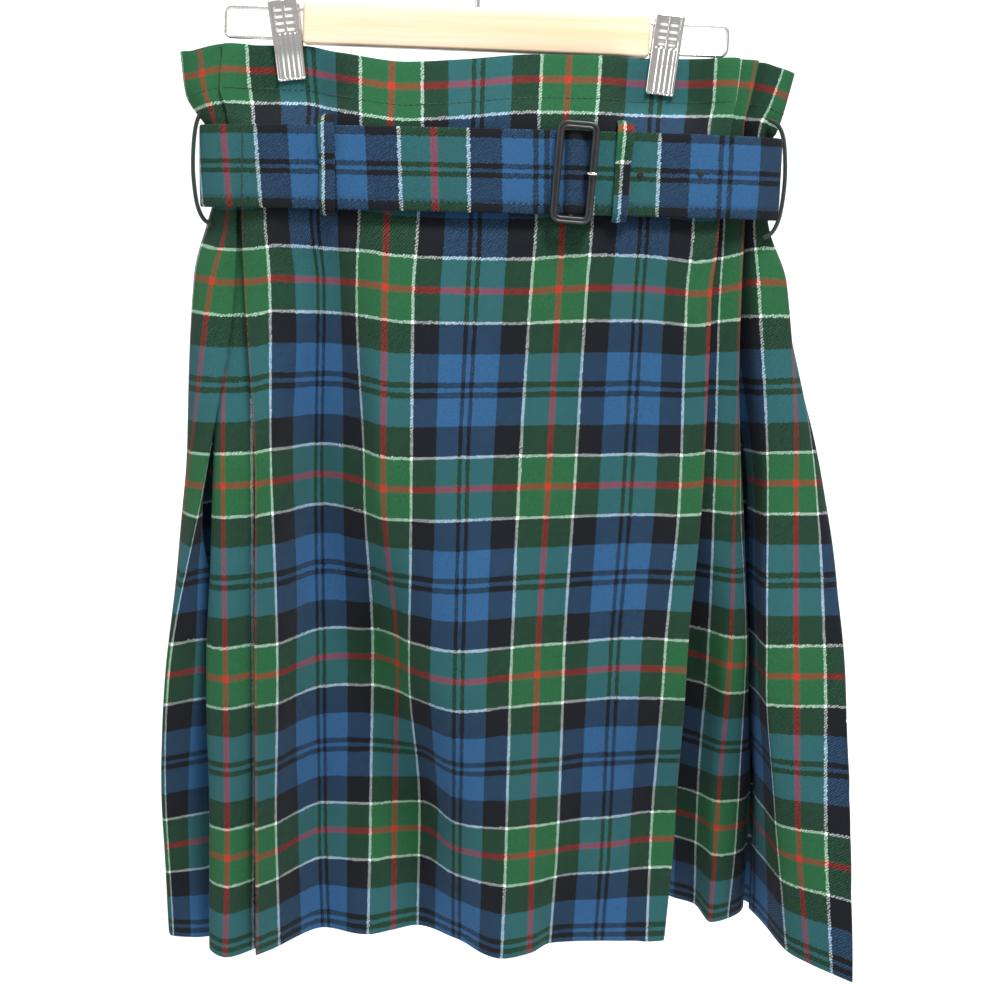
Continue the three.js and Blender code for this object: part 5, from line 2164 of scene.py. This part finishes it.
@dataclass
class Clip:
    """Two sprung plates round a barrel, with raised side edges, bumps, and flutes towards the jaw."""

    hanger: Hanger
    side: str
    sign: int
    lean: float
    jaw: float  # half the opening that the cloth keeps between the plates
    flutes_end: float = 25.0  # above the jaw's edge
    flute: float = 0.62
    flute_width: float = 2.9
    tooth: float = 0.3
    tooth_width: float = 2.2
    bump: float = 0.55
    bump_x: float = 2.9
    bump_rows: Point3 = (28.6, 43.0, 3.6)  # the first, past the last, and their spacing
    rib: float = 0.5
    rim: float = 0.85

    def placed(self, points: Numbers) -> Numbers:
        """Points in the clip's own frame, on the hanger."""
        on_hanger = turned(points, self.lean, (self.sign * CLIP.x, 0, CLIP.spring_z))
        return self.hanger.hung(on_hanger)

    def relief(self, x: Numbers, height: Numbers) -> Numbers:
        """How far a plate's pressed pattern stands out.

        Args:
            x: places across the plate, from its middle.
            height: places up the plate, from its jaw.

        Returns:
            The height of flutes, bumps, the middle rib, the rims and the teeth.
        """
        fluted = 1 - smoothstep(height, self.flutes_end, self.flutes_end + 1.5)
        flutes = self.flute * fluted * (0.5 + 0.5 * np.cos(2 * math.pi * x / self.flute_width)) ** 0.6
        at_jaw = 1 - smoothstep(height, 0.4, 1.4)
        teeth = self.tooth * at_jaw * np.cos(2 * math.pi * (x + height) / self.tooth_width)
        bumps = np.zeros_like(x)
        for row in np.arange(*self.bump_rows):
            for middle in (-self.bump_x, self.bump_x):
                bumps += self.bump * np.exp(-(((x - middle) / 2.2) ** 4) - (((height - row) / 1.05) ** 2))
        rib = self.rib * (1 - fluted) * np.exp(-((x / 0.5) ** 4))
        rims = self.rim * smoothstep(np.abs(x), CLIP.width / 2 - 1.4, CLIP.width / 2 - 0.7)
        return np.maximum(np.maximum(flutes, bumps), np.maximum(rib, rims)) + teeth

    def build(self, workshop: Workshop) -> None:
        """Makes both plates and the ridged barrel of the spring.

        Args:
            workshop: finishes and makers.
        """
        round_spring = CLIP.spring + CLIP.gap + CLIP.plate / 2
        profile = ((CLIP.top, CLIP.spread), (-75, 5.8), (CLIP.spring_z, round_spring),
                   (-92, self.jaw + 0.4), (-96, self.jaw), (CLIP.bottom, self.jaw))
        line = catmull_rom([(0, out, z - CLIP.spring_z) for z, out in profile], 130)
        across = np.linspace(-CLIP.width / 2, CLIP.width / 2, 71)
        height = line[:, 2][:, None] * np.ones_like(across)
        x = across[None, :] * np.ones_like(height)
        outer = CLIP.plate / 2 + self.relief(x, height - line[-1, 2])
        blank = np.zeros(height.shape + (2,))
        for face, facing in (("front", -1), ("back", 1)):
            out = facing * line[:, 1][:, None] * np.ones_like(x)
            grid = np.stack([x * -facing, out, height], axis=-1)
            placed = self.placed(grid)
            normals = self.placed(grid + grid_normals(grid)) - placed
            parts = MeshParts()
            wall(parts, placed, normals, outer, CLIP.plate / 2, blank)
            plate = parts.build(f"steel_clip_{self.side}_{face}", workshop.finishes.steel)
            workshop.keep(plate, Slot.STEEL, f"clip_{self.side}_{face}")
        ends = np.linspace(1.2 - CLIP.width / 2, CLIP.width / 2 - 1.2, 24)
        coil = np.column_stack([ends, np.zeros(24), np.zeros(24)])
        parts = MeshParts()
        parts.add(*swept_tube(self.placed(coil), CLIP.spring - 0.15 * (np.arange(24) % 2), 28))
        spring = parts.build(f"steel_clip_{self.side}_spring", workshop.finishes.steel)
        workshop.keep(spring, Slot.STEEL, f"clip_{self.side}_spring")


# ---------------- studio


@dataclass(frozen=True)
class SoftLight:
    """A square area light: its place, its size, its power and what it looks at."""

    name: str
    place: Point3
    size: float
    power: float
    aim: Point3 = (0.01, 0.0, -0.34)
    beam: Point3 | None = None  # its direction, where it doesn't look at the aim

    def build(self) -> None:
        """Makes the light."""
        light = bpy.data.lights.new(self.name, "AREA")
        light.energy, light.size = self.power, self.size
        lamp = bpy.data.objects.new(self.name, light)
        lamp.location = self.place
        towards = Vector(self.beam) if self.beam else Vector(self.aim) - Vector(self.place)
        lamp.rotation_euler = towards.to_track_quat("-Z", "Y").to_euler()
        bpy.context.scene.collection.objects.link(lamp)


@dataclass(frozen=True)
class Studio:
    """Backdrop, soft lights and the camera. Its sizes are in metres."""

    white: float = 0.93
    half_width: float = 5.0
    floor: float = -1.0
    near: float = -4.0
    wall: float = 2.3
    curve: float = 0.9
    top: float = 3.2
    world: float = 0.42
    lights: tuple[SoftLight, ...] = (
        SoftLight("key", (0.5, -0.95, 1.6), 0.55, 64.0),
        SoftLight("fill", (-1.6, -1.1, 0.5), 1.2, 9.0),
        SoftLight("wall", (0.0, 0.9, 1.4), 1.8, 30.0, beam=(0.0, 1.0, -0.6)),
    )
    lens: float = 52.45
    camera_place: Point3 = (0.019, -0.875, -0.1993)
    camera_tip: float = 80.0
    camera_roll: float = 1.4

    def build(self) -> None:
        """Sets up everything round the skirt."""
        self.build_backdrop()
        for light in self.lights:
            light.build()
        self.build_world()
        self.build_camera()
        scene = bpy.context.scene
        scene.view_settings.view_transform = "Standard"
        scene.view_settings.look = "None"

    def build_backdrop(self) -> None:
        """A pale floor that curves up into a wall behind."""
        coat = Coat("pale backdrop")
        material = coat.dress({"Base Color": (self.white, self.white, self.white, 1), "Roughness": 1.0})
        start, up = self.wall - self.curve, self.floor + self.curve
        turns = np.linspace(-math.pi / 2, 0, 12)
        profile = [(self.near, self.floor), (start, self.floor)]
        profile += [(start + self.curve * math.cos(t), up + self.curve * math.sin(t)) for t in turns]
        profile += [(self.wall, self.top)]
        points = [(x, y, z) for y, z in profile for x in (-self.half_width, self.half_width)]
        faces = [(2 * i, 2 * i + 1, 2 * i + 3, 2 * i + 2) for i in range(len(profile) - 1)]
        mesh = bpy.data.meshes.new("backdrop")
        mesh.from_pydata(points, [], faces)
        mesh.polygons.foreach_set("use_smooth", [True] * len(faces))
        place_mesh(mesh, "backdrop", material)

    def build_world(self) -> None:
        """An even white world."""
        world = bpy.data.worlds.new("soft white")
        world.use_nodes = True
        background = world.node_tree.nodes["Background"]
        background.inputs["Color"].default_value = (1, 1, 1, 1)
        background.inputs["Strength"].default_value = self.world
        bpy.context.scene.world = world

    def build_camera(self) -> None:
        """The camera looks a little down at the front of the skirt."""
        camera = bpy.data.cameras.new("camera")
        camera.lens, camera.sensor_width = self.lens, 36.0
        view = bpy.data.objects.new("camera", camera)
        tip = Matrix.Rotation(math.radians(self.camera_tip), 4, "X")
        roll = Matrix.Rotation(math.radians(self.camera_roll), 4, "Z")
        view.matrix_world = Matrix.Translation(self.camera_place) @ tip @ roll
        bpy.context.scene.collection.objects.link(view)
        bpy.context.scene.camera = view


# ---------------- the whole


def main() -> None:
    """Builds the skirt, its hanger and the studio."""
    logging.basicConfig(level=logging.INFO, format="%(name)s: %(message)s")
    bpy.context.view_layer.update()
    workshop = Workshop(Finishes(), stitch_maker(), wire_maker(), cord_maker())
    belt = Belt()
    for part in (
        *skirt_panels(), belt, Buckle(belt),
        BeltLoop("belt_loop_left", belt, 0.56, 0.664, line_aside=2.3, check_place=0.5, check_down=61),
        BeltLoop("belt_loop_right", belt, 2.285, 2.372, line_aside=1.0, check_place=0.0, check_down=39),
        ThreadLoop("thread_loop_left", -1, -157.5), ThreadLoop("thread_loop_right", 1, 173.2), Hanger(),
    ):
        part.build(workshop)
        LOG.info("made %s", getattr(part, "node", type(part).__name__))
    Studio().build()
    LOG.info("done")


if __name__ == "__main__":
    main()
